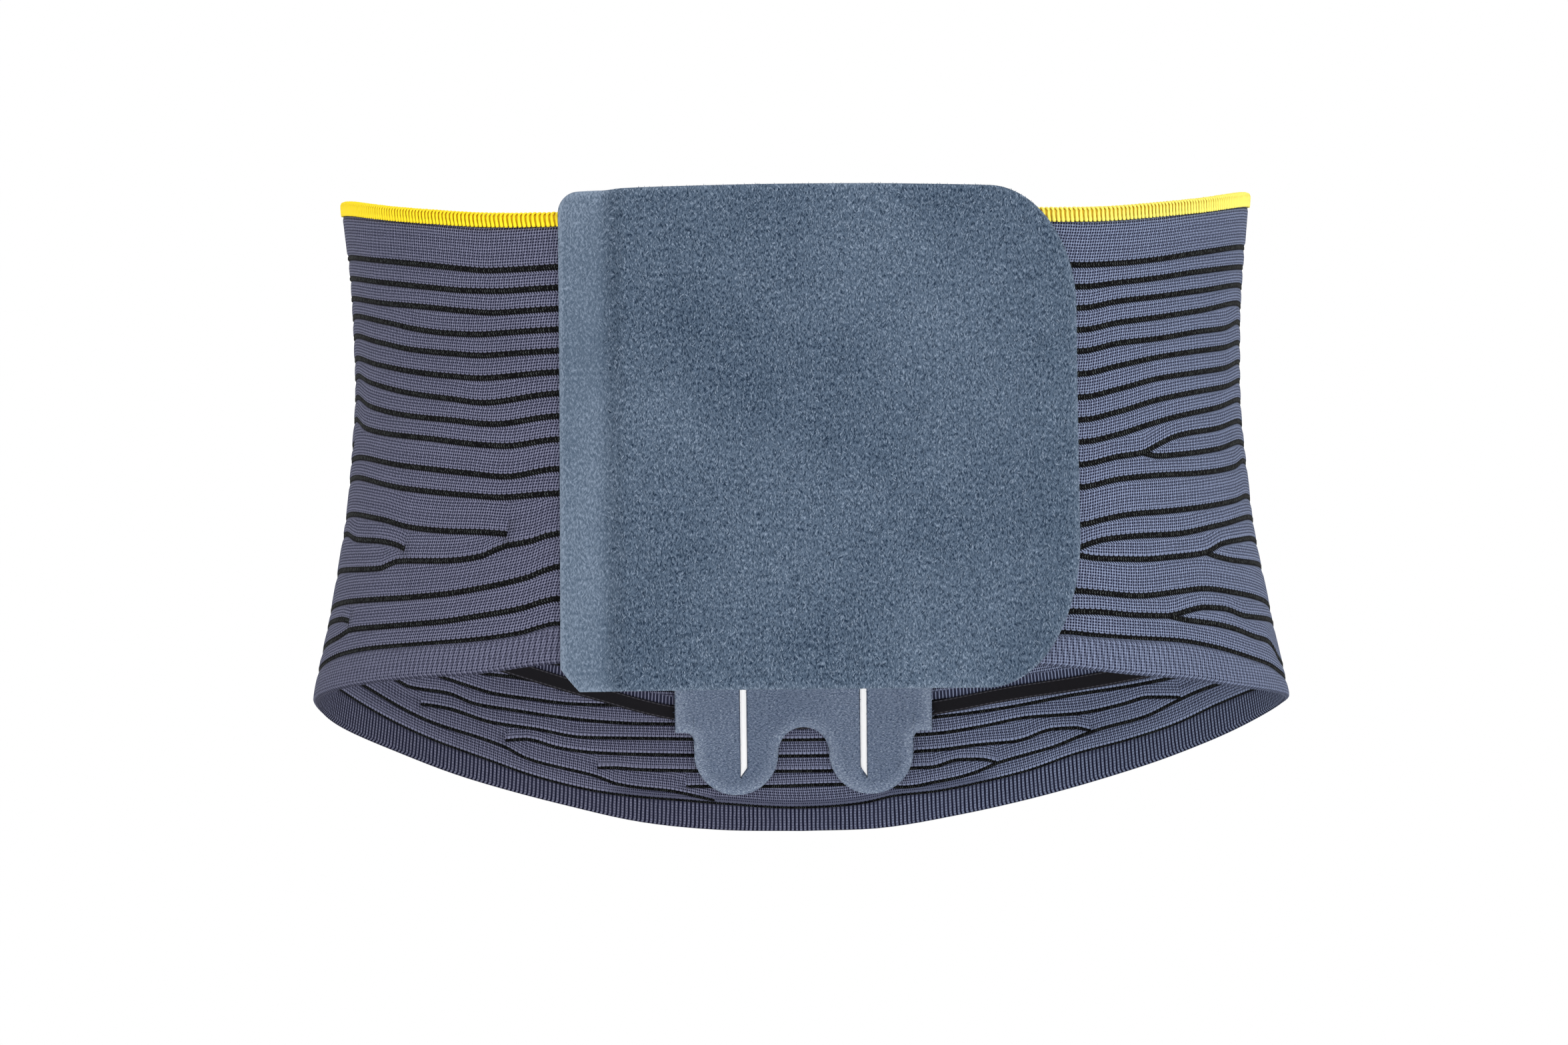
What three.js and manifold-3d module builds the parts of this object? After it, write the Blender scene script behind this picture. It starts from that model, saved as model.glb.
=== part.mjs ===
// A knitted lumbar support belt, closed as it is worn: a ribbed knit wall round the waist with an overlocked
// top edge, a padded front closure lapped over a plain inner panel, and a padded back piece with two lobes,
// two stays in slots and a woven tape on the inside of the wall.
// Millimetres, +Z up. The wearer's front is -Y. The origin is the middle of the waist, at its narrowest level.
import * as THREE from 'three';
import { mergeVertices } from 'three/addons/utils/BufferGeometryUtils.js';
import Module from 'manifold-3d';

const wasm = await Module();
wasm.setup();

// Driving dimensions of the wall, measured on its outside at the narrowest level
const waistWidth = 320;
const frontDepth = 110;
const backDepth = 102;
const sideRise = 68.5;
const sideDrop = 114;
const knitThickness = 2.2;
const ribDepth = 0.6;
const hemHeight = 14;
const plainTopHeight = 17;
const clearance = 0.3;

// The overlocked edge that caps the wall
const edgingHeight = 4.8;
const edgingThickness = 2.8;
const edgingProud = 0.3;

// The padded outer panel of the front closure
const closureWidth = 177;
const closureOffCentre = 7;
const closureRise = 59;
const closureDrop = 111.6;
const closureThickness = 4;
const sewnThickness = 2.4;
const sewnStripWidth = 15.5;
const liftRun = 8;
const rimRounding = 4;
const closureCorners = {
  topLeft: { wide: 7, tall: 7 },
  topRight: { wide: 30, tall: 40 },
  bottomRight: { wide: 33, tall: 52 },
  bottomLeft: { wide: 7, tall: 8 },
};

// The inner panel under it, sewn to the right-hand end of the wall
const innerPanelThickness = 2.4;
const innerPanelLap = 31.5;
const innerPanelReach = 62;
const innerPanelMargin = 1.5;
const innerPanelCorner = 14;
const seamOverlap = 12;

// The padded back piece on the inside of the wall
const padThickness = 3;
const padHalfWidth = 50;
const padOffCentre = 1.4;
const padTop = 52;
const padTopCorner = 22;
const padShoulder = 124.6;
const shoulderCorner = 3.5;
const lobeRadius = 16.4;
const lobeSpacing = 52.6;
const lobeLevel = 132.7;

// Stays in the back piece, and the slots that they show through
const stayWidth = 2.6;
const stayThickness = 1.6;
const stayRecess = 0.8;
const staySpacing = 46.8;
const stayBottom = 142;
const stayTop = 36;
const stayPoint = 3.6;

// Woven tape on the inside of the wall
const tapeWidth = 5.5;
const tapeThickness = 0.8;
const tapeLeftEnd = -34;
const tapeRightEnd = 30;

// Angles run from 0 at the middle of the front to 180 at the middle of the back; left is negative
const columnStep = 5;

// Half width and depths of the wall at each level. level is a share of sideRise above the waist and of
// sideDrop below it; width, front and back are shares of the sizes at the waist.
const sections = [
  { level: -1.55, width: 1.150, front: 1.100, back: 1.385 },
  { level: -1.00, width: 1.100, front: 1.064, back: 1.275 },
  { level: -0.75, width: 1.064, front: 1.040, back: 1.190 },
  { level: -0.50, width: 1.031, front: 1.022, back: 1.100 },
  { level: -0.25, width: 1.010, front: 1.008, back: 1.030 },
  { level: 0.00, width: 1.000, front: 1.000, back: 1.000 },
  { level: 0.50, width: 1.008, front: 1.005, back: 1.012 },
  { level: 1.00, width: 1.030, front: 1.018, back: 1.050 },
  { level: 1.40, width: 1.058, front: 1.035, back: 1.100 },
];

// Height of the top edge as a share of sideRise, and depth of the bottom edge on each side as a share of sideDrop
const edges = [
  { angle: 0, top: 0.745, left: 0.893, right: 0.904 },
  { angle: 28, top: 0.765, left: 0.893, right: 0.914 },
  { angle: 40, top: 0.786, left: 0.920, right: 0.941 },
  { angle: 50, top: 0.828, left: 0.928, right: 0.956 },
  { angle: 60, top: 0.876, left: 0.940, right: 0.977 },
  { angle: 75, top: 0.952, left: 0.965, right: 0.995 },
  { angle: 90, top: 1.000, left: 1.000, right: 1.015 },
  { angle: 105, top: 1.036, left: 1.065, right: 1.062 },
  { angle: 120, top: 1.058, left: 1.144, right: 1.143 },
  { angle: 135, top: 1.075, left: 1.243, right: 1.235 },
  { angle: 150, top: 1.100, left: 1.338, right: 1.328 },
  { angle: 160, top: 1.118, left: 1.397, right: 1.383 },
  { angle: 170, top: 1.133, left: 1.427, right: 1.426 },
  { angle: 180, top: 1.139, left: 1.434, right: 1.434 },
];

// Depth of the middle of the tape below the waist, as a share of sideDrop
const tapeCourse = [
  { angle: 0, left: 0.500, right: 0.740 },
  { angle: 60, left: 0.540, right: 0.770 },
  { angle: 90, left: 0.610, right: 0.812 },
  { angle: 120, left: 0.748, right: 0.876 },
  { angle: 142, left: 0.884, right: 0.942 },
  { angle: 152, left: 0.950, right: 0.972 },
  { angle: 164, left: 1.026, right: 1.022 },
  { angle: 180, left: 1.062, right: 1.062 },
];

const toRadians = THREE.MathUtils.degToRad;
const toDegrees = THREE.MathUtils.radToDeg;

// Smooth reading of one column of a table between its rows
function read(table, key, column, at) {
  let i = 0;
  while (i < table.length - 2 && at > table[i + 1][key]) {
    i += 1;
  }
  const slope = (j) => {
    const before = table[Math.max(j - 1, 0)];
    const after = table[Math.min(j + 1, table.length - 1)];
    return (after[column] - before[column]) / (after[key] - before[key]);
  };
  const span = table[i + 1][key] - table[i][key];
  const t = (at - table[i][key]) / span;
  const rise = table[i + 1][column] - table[i][column];
  const bendStart = slope(i) * span - rise;
  const bendEnd = rise - slope(i + 1) * span;
  return table[i][column] + rise * t + t * (1 - t) * (bendStart * (1 - t) + bendEnd * t);
}

// Half width, and depth to the front or the back, of the wall's outside at a height
function radii(height, toFront) {
  const level = height < 0 ? height / sideDrop : height / sideRise;
  const depth = toFront ? frontDepth * read(sections, 'level', 'front', level)
    : backDepth * read(sections, 'level', 'back', level);
  return { halfWidth: waistWidth / 2 * read(sections, 'level', 'width', level), depth };
}

// A point on the wall by its angle, a given way outside it (or inside, if negative)
function wallAtAngle(angle, height, outward) {
  const turn = toRadians(angle);
  const { halfWidth, depth } = radii(height, Math.cos(turn) > 0);
  const x = (halfWidth + outward) * Math.sin(turn);
  return new THREE.Vector3(x, -(depth + outward) * Math.cos(turn), height);
}

// A point on the front or back of the wall by its sideways place
function wallAcross(x, height, outward, toFront) {
  const { halfWidth, depth } = radii(height, toFront);
  const y = (depth + outward) * Math.sqrt(1 - (x / (halfWidth + outward)) ** 2);
  return new THREE.Vector3(x, toFront ? -y : y, height);
}

const sideOf = (angle) => (Math.sin(toRadians(angle)) < 0 ? 'left' : 'right');
const fromFront = (angle) => toDegrees(Math.acos(Math.cos(toRadians(angle))));
const topEdge = (angle) => sideRise * read(edges, 'angle', 'top', fromFront(angle));
const bottomEdge = (angle) => -sideDrop * read(edges, 'angle', sideOf(angle), fromFront(angle));
const tapeMiddle = (angle) => -sideDrop * read(tapeCourse, 'angle', sideOf(angle), fromFront(angle));
const evenly = (count) => Array.from({ length: count + 1 }, (_, i) => i / count);

// Angles from the left-hand end round the back to the right-hand end, a column apart
function columnsBetween(leftEnd, rightEnd) {
  const last = rightEnd - 360;
  const angles = [leftEnd];
  for (let angle = Math.ceil(leftEnd / columnStep) * columnStep; angle > last; angle -= columnStep) {
    if (leftEnd - angle > columnStep / 4 && angle - last > columnStep / 4) {
      angles.push(angle);
    }
  }
  angles.push(last);
  return angles;
}

// The points of a section as one loop. Its outer and inner sides both run the same way, by their y.
const loopOf = ({ outer, inner }) => [...outer, ...inner.slice().reverse()];

// Triangles that close a section's end, zipped between its two sides
function endFaces({ outer, inner }) {
  const last = outer.length + inner.length - 1;
  const faces = [];
  let i = 0;
  let j = 0;
  while (i < outer.length - 1 || j < inner.length - 1) {
    const nextOuter = i < outer.length - 1 ? outer[i + 1].y : Infinity;
    const nextInner = j < inner.length - 1 ? inner[j + 1].y : Infinity;
    if (nextOuter <= nextInner) {
      faces.push([i, i + 1, last - j]);
      i += 1;
    } else {
      faces.push([i, last - j - 1, last - j]);
      j += 1;
    }
  }
  return faces;
}

// A closed skin over rings of points that all follow one section
function sweep(rings, section) {
  const size = section.outer.length + section.inner.length;
  const positions = rings.flatMap((ring) => ring.flatMap((point) => point.toArray()));
  const index = [];
  for (let i = 0; i < rings.length - 1; i += 1) {
    for (let j = 0; j < size; j += 1) {
      const next = (j + 1) % size;
      const [a, b, c, d] = [i * size + j, i * size + next, (i + 1) * size + next, (i + 1) * size + j];
      index.push(a, b, c, a, c, d);
    }
  }
  const last = (rings.length - 1) * size;
  for (const [a, b, c] of endFaces(section)) {
    index.push(a, c, b, last + a, last + b, last + c);
  }
  const geometry = new THREE.BufferGeometry();
  geometry.setAttribute('position', new THREE.Float32BufferAttribute(positions, 3));
  geometry.setIndex(index);
  return facingOut(geometry);
}

// Turns a skin the right way out, by the sign of the volume that it holds
function facingOut(geometry) {
  const position = geometry.getAttribute('position');
  const index = Array.from(geometry.getIndex().array);
  const [a, b, c] = [new THREE.Vector3(), new THREE.Vector3(), new THREE.Vector3()];
  let volume = 0;
  for (let i = 0; i < index.length; i += 3) {
    a.fromBufferAttribute(position, index[i]);
    b.fromBufferAttribute(position, index[i + 1]);
    c.fromBufferAttribute(position, index[i + 2]);
    volume += a.dot(b.cross(c));
  }
  geometry.setIndex(volume < 0 ? index.reverse() : index);
  return geometry;
}

function toSolid(geometry) {
  geometry.deleteAttribute('normal');
  geometry.deleteAttribute('uv');
  const merged = facingOut(mergeVertices(geometry, 1e-4));
  const vertProperties = new Float32Array(merged.getAttribute('position').array);
  const triVerts = new Uint32Array(merged.getIndex().array);
  return new wasm.Manifold(new wasm.Mesh({ numProp: 3, vertProperties, triVerts }));
}

function toGeometry(solid) {
  const { vertProperties, triVerts } = solid.getMesh();
  const geometry = new THREE.BufferGeometry();
  geometry.setAttribute('position', new THREE.BufferAttribute(vertProperties, 3));
  geometry.setIndex(new THREE.BufferAttribute(triVerts, 1));
  return geometry;
}

// Outline of the front closure
const closureLeft = closureOffCentre - closureWidth / 2;
const closureRight = closureOffCentre + closureWidth / 2;
const closureStandoff = edgingProud + 0.5;
const lappedStandoff = closureStandoff + innerPanelThickness + clearance;
const innerPanelLeft = closureLeft + innerPanelLap;

// How far a round corner draws an upright edge in, at a way from its end
function drawnIn(corner, away) {
  const along = Math.max(1 - away / corner.tall, 0);
  return corner.wide * (1 - Math.sqrt(1 - along * along));
}

// Left and right limits of a panel with four round corners, at a height
function panelLimits(panel, height) {
  const { corners } = panel;
  const fromTop = panel.top - height;
  const fromBottom = height - panel.bottom;
  return {
    left: panel.left + drawnIn(corners.topLeft, fromTop) + drawnIn(corners.bottomLeft, fromBottom),
    right: panel.right - drawnIn(corners.topRight, fromTop) - drawnIn(corners.bottomRight, fromBottom),
  };
}

// A panel that lies on the front of the wall: under and over give how far its two faces stand off the wall
function frontPanel(panel, acrossOver, acrossUnder, rows) {
  const section = {
    outer: acrossOver.map((share) => new THREE.Vector2(1, share)),
    inner: acrossUnder.map((share) => new THREE.Vector2(0, share)),
  };
  const rings = evenly(rows).map((share) => {
    const height = THREE.MathUtils.lerp(panel.bottom, panel.top, (1 - Math.cos(Math.PI * share)) / 2);
    const { left, right } = panelLimits(panel, height);
    return loopOf(section).map((point) => {
      const x = THREE.MathUtils.lerp(left, right, point.y);
      const rim = Math.min(x - left, right - x, panel.top - height, height - panel.bottom);
      const under = panel.under(x);
      const over = under + panel.thickness(x) * rounded(rim);
      return wallAcross(x, height, point.x > 0 ? over : under, true);
    });
  });
  return sweep(rings, section);
}

// Share of the thickness that a padded edge keeps near its rim
function rounded(rim) {
  const inside = Math.min(rim / rimRounding, 1);
  return 0.45 + 0.55 * Math.sqrt(1 - (1 - inside) ** 2);
}

// The wall's own ends, which the closure hides
const endAngle = (x) => toDegrees(Math.asin(x / (waistWidth / 2)));
const wallLeftEnd = endAngle(closureLeft + sewnStripWidth + clearance);
const wallRightEnd = endAngle(innerPanelReach - seamOverlap);

// The knit wall: ribs outside between a plain hem and a plain band under the top edge, smooth inside
function knitBody() {
  const ribs = 17;
  const insideRows = 14;
  const hemShare = hemHeight / (sideRise + sideDrop);
  const plainShare = plainTopHeight / (sideRise + sideDrop);
  const ribbed = evenly(ribs * 2).map((share, i) => (
    new THREE.Vector2(i % 2 === 0 ? -ribDepth : 0, THREE.MathUtils.lerp(hemShare, 1 - plainShare, share))
  ));
  const section = {
    outer: [new THREE.Vector2(0, 0), ...ribbed, new THREE.Vector2(0, 1)],
    inner: evenly(insideRows).map((share) => new THREE.Vector2(-knitThickness, share)),
  };
  const rings = columnsBetween(wallLeftEnd, wallRightEnd).map((angle) => {
    const bottom = bottomEdge(angle);
    const top = topEdge(angle) - edgingHeight - clearance;
    return loopOf(section).map(({ x, y }) => wallAtAngle(angle, THREE.MathUtils.lerp(bottom, top, y), x));
  });
  return sweep(rings, section);
}

// The overlocked edge, a rounded band that caps the wall
function topEdging() {
  const inner = edgingProud - edgingThickness;
  const soft = edgingThickness / 4;
  const side = (face, turned) => [
    new THREE.Vector2(face, -edgingHeight),
    new THREE.Vector2(face, -soft * 1.6),
    new THREE.Vector2(turned, 0),
  ];
  const section = { outer: side(edgingProud, edgingProud - soft), inner: side(inner, inner + soft) };
  const rings = columnsBetween(wallLeftEnd, wallRightEnd).map((angle) => (
    loopOf(section).map(({ x, y }) => wallAtAngle(angle, topEdge(angle) + y, x))
  ));
  return sweep(rings, section);
}

// The outer closure panel: sewn down flat along its left edge, then lifted over the inner panel
function closureOuter() {
  const seam = closureLeft + sewnStripWidth;
  const lifted = (x) => THREE.MathUtils.smoothstep(x, seam, seam + liftRun);
  const settled = (x) => THREE.MathUtils.smoothstep(x, innerPanelReach + clearance * 2, closureRight);
  const panel = {
    left: closureLeft,
    right: closureRight,
    top: closureRise,
    bottom: -closureDrop,
    corners: closureCorners,
    under: (x) => closureStandoff + (lappedStandoff - closureStandoff) * (lifted(x) - settled(x) * 0.6),
    thickness: (x) => THREE.MathUtils.lerp(sewnThickness, closureThickness, lifted(x)),
  };
  const over = [0, 0.008, 0.022, 0.085, 0.11, 0.145, 0.18, 0.27, 0.38, 0.49, 0.6, 0.71, 0.82, 0.92, 0.978, 0.992, 1];
  return frontPanel(panel, over, evenly(13), 16);
}

// The plain inner panel, which bridges the gap between the wall's ends
function closureInner() {
  const corner = { wide: innerPanelCorner, tall: innerPanelCorner };
  const sewn = { wide: innerPanelMargin, tall: innerPanelMargin };
  const panel = {
    left: innerPanelLeft,
    right: innerPanelReach,
    top: topEdge(0) - innerPanelMargin,
    bottom: bottomEdge(0) + innerPanelMargin,
    corners: { topLeft: corner, bottomLeft: corner, topRight: sewn, bottomRight: sewn },
    under: () => closureStandoff,
    thickness: () => innerPanelThickness,
  };
  return frontPanel(panel, [0, 0.03, 0.2, 0.4, 0.6, 0.8, 0.97, 1], evenly(7), 12);
}

// The back piece's bottom outline: a shoulder at each side, two round lobes and the round notch between them
const padMouth = knitThickness + tapeThickness + clearance * 2;
const notchRadius = lobeSpacing / 2 - lobeRadius;

function padBottom(aside) {
  const fromLobe = aside - lobeSpacing / 2;
  if (aside <= notchRadius) {
    return -lobeLevel + Math.sqrt(notchRadius ** 2 - aside ** 2);
  }
  if (fromLobe <= lobeRadius) {
    return -lobeLevel - Math.sqrt(Math.max(lobeRadius ** 2 - fromLobe ** 2, 0));
  }
  const away = Math.min((fromLobe - lobeRadius) / shoulderCorner, 1);
  return -padShoulder - shoulderCorner * (1 - Math.sqrt(1 - (1 - away) ** 2));
}

// Sideways stops of the back piece from its middle to its edge, close where its outline turns
function padStops() {
  const notch = evenly(4).map((share) => notchRadius * Math.sin(share * Math.PI / 2));
  const lobe = evenly(8).map((share) => lobeSpacing / 2 - lobeRadius * Math.cos(share * Math.PI));
  const shoulderStart = lobeSpacing / 2 + lobeRadius + clearance;
  const shoulder = [0, 0.25, 0.6, 1].map((share) => THREE.MathUtils.lerp(shoulderStart, padHalfWidth, share));
  const half = [...notch, ...lobe.slice(1), ...shoulder];
  return [...half.slice(1).reverse().map((stop) => -stop), ...half];
}

function padSkin(stops, bottomAt, topAt, outside, thickness, rows) {
  const section = {
    outer: evenly(rows).map((share) => new THREE.Vector2(1, share)),
    inner: evenly(rows).map((share) => new THREE.Vector2(0, share)),
  };
  const rings = stops.map((aside) => loopOf(section).map((point) => {
    const height = THREE.MathUtils.lerp(bottomAt(Math.abs(aside)), topAt(Math.abs(aside)), point.y);
    const inward = outside + thickness * (1 - point.x);
    return wallAcross(padOffCentre + aside, height, -inward, false);
  }));
  return sweep(rings, section);
}

// Upright prism of a stay's outline, wider and longer all round by a margin. side is -1 left, 1 right.
function stayPrism(side, margin) {
  const half = stayWidth / 2 + margin;
  const slope = stayPoint / stayWidth;
  const drop = stayBottom + margin * Math.hypot(1, slope);
  const tip = -drop - slope * margin;
  const heel = -drop + slope * (stayWidth + margin);
  const shape = new THREE.Shape();
  shape.moveTo(-half, stayTop + margin);
  shape.lineTo(half, stayTop + margin);
  shape.lineTo(half, side > 0 ? tip : heel);
  shape.lineTo(-half, side > 0 ? heel : tip);
  const depth = backDepth * 2;
  const prism = new THREE.ExtrudeGeometry(shape, { depth, bevelEnabled: false });
  prism.rotateX(Math.PI / 2);
  prism.translate(padOffCentre + side * staySpacing / 2, depth, 0);
  return toSolid(prism);
}

function backPad() {
  const padRows = 9;
  const corner = (aside) => padTopCorner - Math.sqrt(
    padTopCorner ** 2 - Math.max(aside - padHalfWidth + padTopCorner, 0) ** 2,
  );
  const skin = padSkin(padStops(), padBottom, (aside) => padTop - corner(aside), padMouth, padThickness, padRows);
  let solid = toSolid(skin);
  for (const side of [-1, 1]) {
    solid = solid.subtract(stayPrism(side, clearance));
  }
  return toGeometry(solid);
}

// A stay: a thin strip that follows the wall inside its slot
function stay(side) {
  const stops = [-stayWidth * 1.5, 0, stayWidth * 1.5];
  const middle = side * staySpacing / 2;
  const outside = padMouth + padThickness - stayRecess - stayThickness;
  const margin = stayPoint * 2;
  const skin = padSkin(
    stops.map((stop) => middle + stop),
    () => -stayBottom - margin,
    () => stayTop + margin,
    outside,
    stayThickness,
    9,
  );
  return toGeometry(toSolid(skin).intersect(stayPrism(side, 0)));
}

// The tape that dips towards the middle of the back
function backTape() {
  const outside = knitThickness + clearance;
  const face = (offset) => [-1, 1].map((edge) => new THREE.Vector2(offset, edge * tapeWidth / 2));
  const section = { outer: face(-outside), inner: face(-outside - tapeThickness) };
  const rings = columnsBetween(tapeLeftEnd, tapeRightEnd).map((angle) => (
    loopOf(section).map(({ x, y }) => wallAtAngle(angle, tapeMiddle(angle) + y, x))
  ));
  return sweep(rings, section);
}

const finishes = {
  knit: { color: 0x5c6072, roughness: 0.9 },
  edging: { color: 0xf2dc62, roughness: 0.7 },
  velour: { color: 0x596a7d, roughness: 0.95 },
  backVelour: { color: 0x667388, roughness: 0.95 },
  stay: { color: 0xf6f7f8, roughness: 0.4 },
  tape: { color: 0x25252c, roughness: 0.8 },
};

function piece(name, geometry, finish) {
  const mesh = new THREE.Mesh(geometry, new THREE.MeshStandardMaterial({ ...finishes[finish], metalness: 0 }));
  mesh.name = name;
  return mesh;
}

const belt = new THREE.Group();
belt.add(
  piece('knit_body', knitBody(), 'knit'),
  piece('top_edging', topEdging(), 'edging'),
  piece('closure_outer', closureOuter(), 'velour'),
  piece('closure_inner', closureInner(), 'velour'),
  piece('back_pad', backPad(), 'backVelour'),
  piece('stay_left', stay(-1), 'stay'),
  piece('stay_right', stay(1), 'stay'),
  piece('back_tape', backTape(), 'tape'),
);

export default belt;
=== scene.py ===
"""A knitted lumbar support belt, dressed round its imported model.

Metres, +Z up, the wearer's front towards -Y. A place round the belt is in degrees from the middle of the
front, counted towards the left of the front view, so that 180 is the middle of the back and 270 the
right-hand side.
"""

import math

import bpy
import numpy as np
from bpy.props import FloatProperty, FloatVectorProperty, IntProperty, PointerProperty
from mathutils import Matrix


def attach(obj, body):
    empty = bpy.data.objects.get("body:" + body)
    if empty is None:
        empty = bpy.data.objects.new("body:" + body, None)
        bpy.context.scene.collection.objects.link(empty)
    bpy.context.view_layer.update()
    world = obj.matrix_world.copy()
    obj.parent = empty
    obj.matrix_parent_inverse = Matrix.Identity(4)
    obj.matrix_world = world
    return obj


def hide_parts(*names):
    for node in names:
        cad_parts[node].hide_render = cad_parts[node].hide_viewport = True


bl_info = {
    "name": "Lumbar Support Belt",
    "version": (1, 0, 0),
    "blender": (4, 5, 0),
    "location": "View3D > Sidebar > Belt",
    "description": "Builds a knitted lumbar support belt, piece by piece, round its packed model",
    "category": "Add Mesh",
}

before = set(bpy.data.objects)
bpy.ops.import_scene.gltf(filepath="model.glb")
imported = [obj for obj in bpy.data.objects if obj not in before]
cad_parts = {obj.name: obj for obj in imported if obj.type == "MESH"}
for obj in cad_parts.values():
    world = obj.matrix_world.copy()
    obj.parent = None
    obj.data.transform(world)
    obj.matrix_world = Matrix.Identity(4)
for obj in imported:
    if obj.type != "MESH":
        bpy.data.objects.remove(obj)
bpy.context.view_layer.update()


def length(name, description, default):
    """A size in metres."""
    return FloatProperty(name=name, description=description, default=default, unit="LENGTH", precision=5)


def count(name, description, default):
    """A whole number of like things."""
    return IntProperty(name=name, description=description, default=default, min=1)


def dye(name, description, red, green, blue):
    """A colour given as it shows on a screen, from 0 to 255, and kept as linear light."""
    linear = [((value / 255 + 0.055) / 1.055) ** 2.4 for value in (red, green, blue)]
    return FloatVectorProperty(
        name=name, description=description, default=linear, subtype="COLOR", min=0, max=1)


class WallSizes(bpy.types.PropertyGroup):
    """Sizes of the knitted wall and its overlocked top edge."""

    waist_width: length("Waist width", "Outside width at the narrowest level", 0.320)
    front_depth: length("Front depth", "From the middle to the front at that level", 0.110)
    back_depth: length("Back depth", "From the middle to the back at that level", 0.102)
    side_rise: length("Side rise", "Height of the top edge at the sides", 0.0685)
    side_drop: length("Side drop", "Depth of the bottom edge at the sides", 0.114)
    thickness: length("Knit thickness", "Thickness of the knitted wall", 0.0022)
    left_end: FloatProperty(name="Left end", description="Where the wall starts", default=24.2)
    right_end: FloatProperty(name="Right end", description="Where the wall ends", default=341.8)
    columns: count("Columns", "Columns of the wall's mesh, before those at the threads' ends", 172)
    groove: length("Groove", "How deep an elastic thread draws the knit in", 0.00062)
    puff: length("Puff", "How far the knit swells between two threads", 0.00034)
    wale_pitch: length("Wale pitch", "Width of one column of stitches at the sides", 0.0018)
    wale_stretch: length("Wale stretch", "How much wider it is in front and narrower at the back", 0.0003)
    course_pitch: length("Course pitch", "Height of one row of stitches", 0.00104)
    thread_width: length("Thread width", "Width of an elastic thread", 0.00175)
    thread_height: length("Thread height", "Height of an elastic thread", 0.0010)
    thread_step: length("Thread step", "Length of one piece of an elastic thread's mesh", 0.0024)
    edging_height: length("Edging height", "Height of the overlocked edge", 0.0048)
    edging_thickness: length("Edging thickness", "Thickness of the overlocked edge", 0.0028)
    edging_proud: length("Edging proud", "How far it stands out of the wall", 0.0003)
    loop_pitch: length("Loop pitch", "Distance between two overlock stitches", 0.00167)
    gap: length("Gap", "Clear way between two pieces", 0.0003)


class PanelSizes(bpy.types.PropertyGroup):
    """Sizes of the front closure and of the plain panel under it."""

    width: length("Closure width", "Width of the outer panel", 0.177)
    off_centre: length("Off centre", "How far its middle lies to the right", 0.007)
    rise: length("Closure rise", "Height of its top edge", 0.059)
    drop: length("Closure drop", "Depth of its bottom edge", 0.1116)
    thickness: length("Closure thickness", "Thickness of the padded part", 0.004)
    sewn_thickness: length("Sewn thickness", "Thickness of the strip that is sewn down", 0.0024)
    sewn_strip: length("Sewn strip", "Width of that strip", 0.0155)
    lift_run: length("Lift run", "Width of the slope beside the strip", 0.008)
    rim_rounding: length("Rim rounding", "Width of the rounded rim", 0.004)
    standoff: length("Standoff", "Clear way between the wall and the panel", 0.0008)
    lapped_standoff: length("Lapped standoff", "The same over the inner panel", 0.0035)
    inner_left: length("Inner panel left", "Left edge of the inner panel", -0.050)
    inner_right: length("Inner panel right", "Right edge of the inner panel", 0.062)
    inner_thickness: length("Inner panel thickness", "Thickness of the inner panel", 0.0024)
    inner_margin: length("Inner panel margin", "How far it stays inside the wall's edges", 0.0015)
    inner_corner: length("Inner panel corner", "Radius of its free corners", 0.014)
    fibres: count("Fibres", "Brushed fibres on the outer panel", 60000)
    fibre_length: length("Fibre length", "Length of a brushed fibre", 0.0014)
    fibre_width: length("Fibre width", "Width of a brushed fibre", 0.00032)


class BackSizes(bpy.types.PropertyGroup):
    """Sizes of the padded back piece, its stays and the tape."""

    thickness: length("Pad thickness", "Thickness of the back piece", 0.003)
    half_width: length("Pad half width", "Half the width of the back piece", 0.050)
    off_centre: length("Off centre", "How far its middle lies to the right", 0.0014)
    top: length("Pad top", "Height of its top edge", 0.052)
    top_corner: length("Top corner", "Radius of its top corners", 0.022)
    shoulder: length("Shoulder", "Depth of its shoulders", 0.1246)
    shoulder_corner: length("Shoulder corner", "Radius of the shoulders' corners", 0.0035)
    lobe_radius: length("Lobe radius", "Radius of the round lobes", 0.0164)
    lobe_spacing: length("Lobe spacing", "Distance between the lobes' middles", 0.0526)
    lobe_level: length("Lobe level", "Depth of the lobes' middles", 0.1327)
    mouth: length("Pad standoff", "From the wall's outside to the pad's back", 0.0036)
    stay_width: length("Stay width", "Width of a stay", 0.0026)
    stay_recess: length("Stay recess", "How deep a stay lies in its slot", 0.0005)
    stay_gap: length("Stay gap", "Clear way beside a stay", 0.0001)
    stay_spacing: length("Stay spacing", "Distance between the stays", 0.0468)
    stay_bottom: length("Stay bottom", "Depth of a stay's pointed end", 0.142)
    stay_top: length("Stay top", "Height of a stay's top end", 0.036)
    stay_point: length("Stay point", "Length of the slanted point", 0.0036)
    stay_thickness: length("Stay thickness", "Thickness of a stay", 0.0016)
    fibres: count("Fibres", "Short fibres on the back piece", 42000)
    fibre_length: length("Fibre length", "Length of a short fibre", 0.0010)
    fibre_width: length("Fibre width", "Width of a short fibre", 0.00022)
    tape_width: length("Tape width", "Width of the woven tape", 0.0055)
    tape_thickness: length("Tape thickness", "Thickness of the woven tape", 0.0008)
    tape_left: FloatProperty(name="Tape left end", description="Where the tape starts", default=34)
    tape_right: FloatProperty(name="Tape right end", description="Where the tape ends", default=330)


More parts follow.
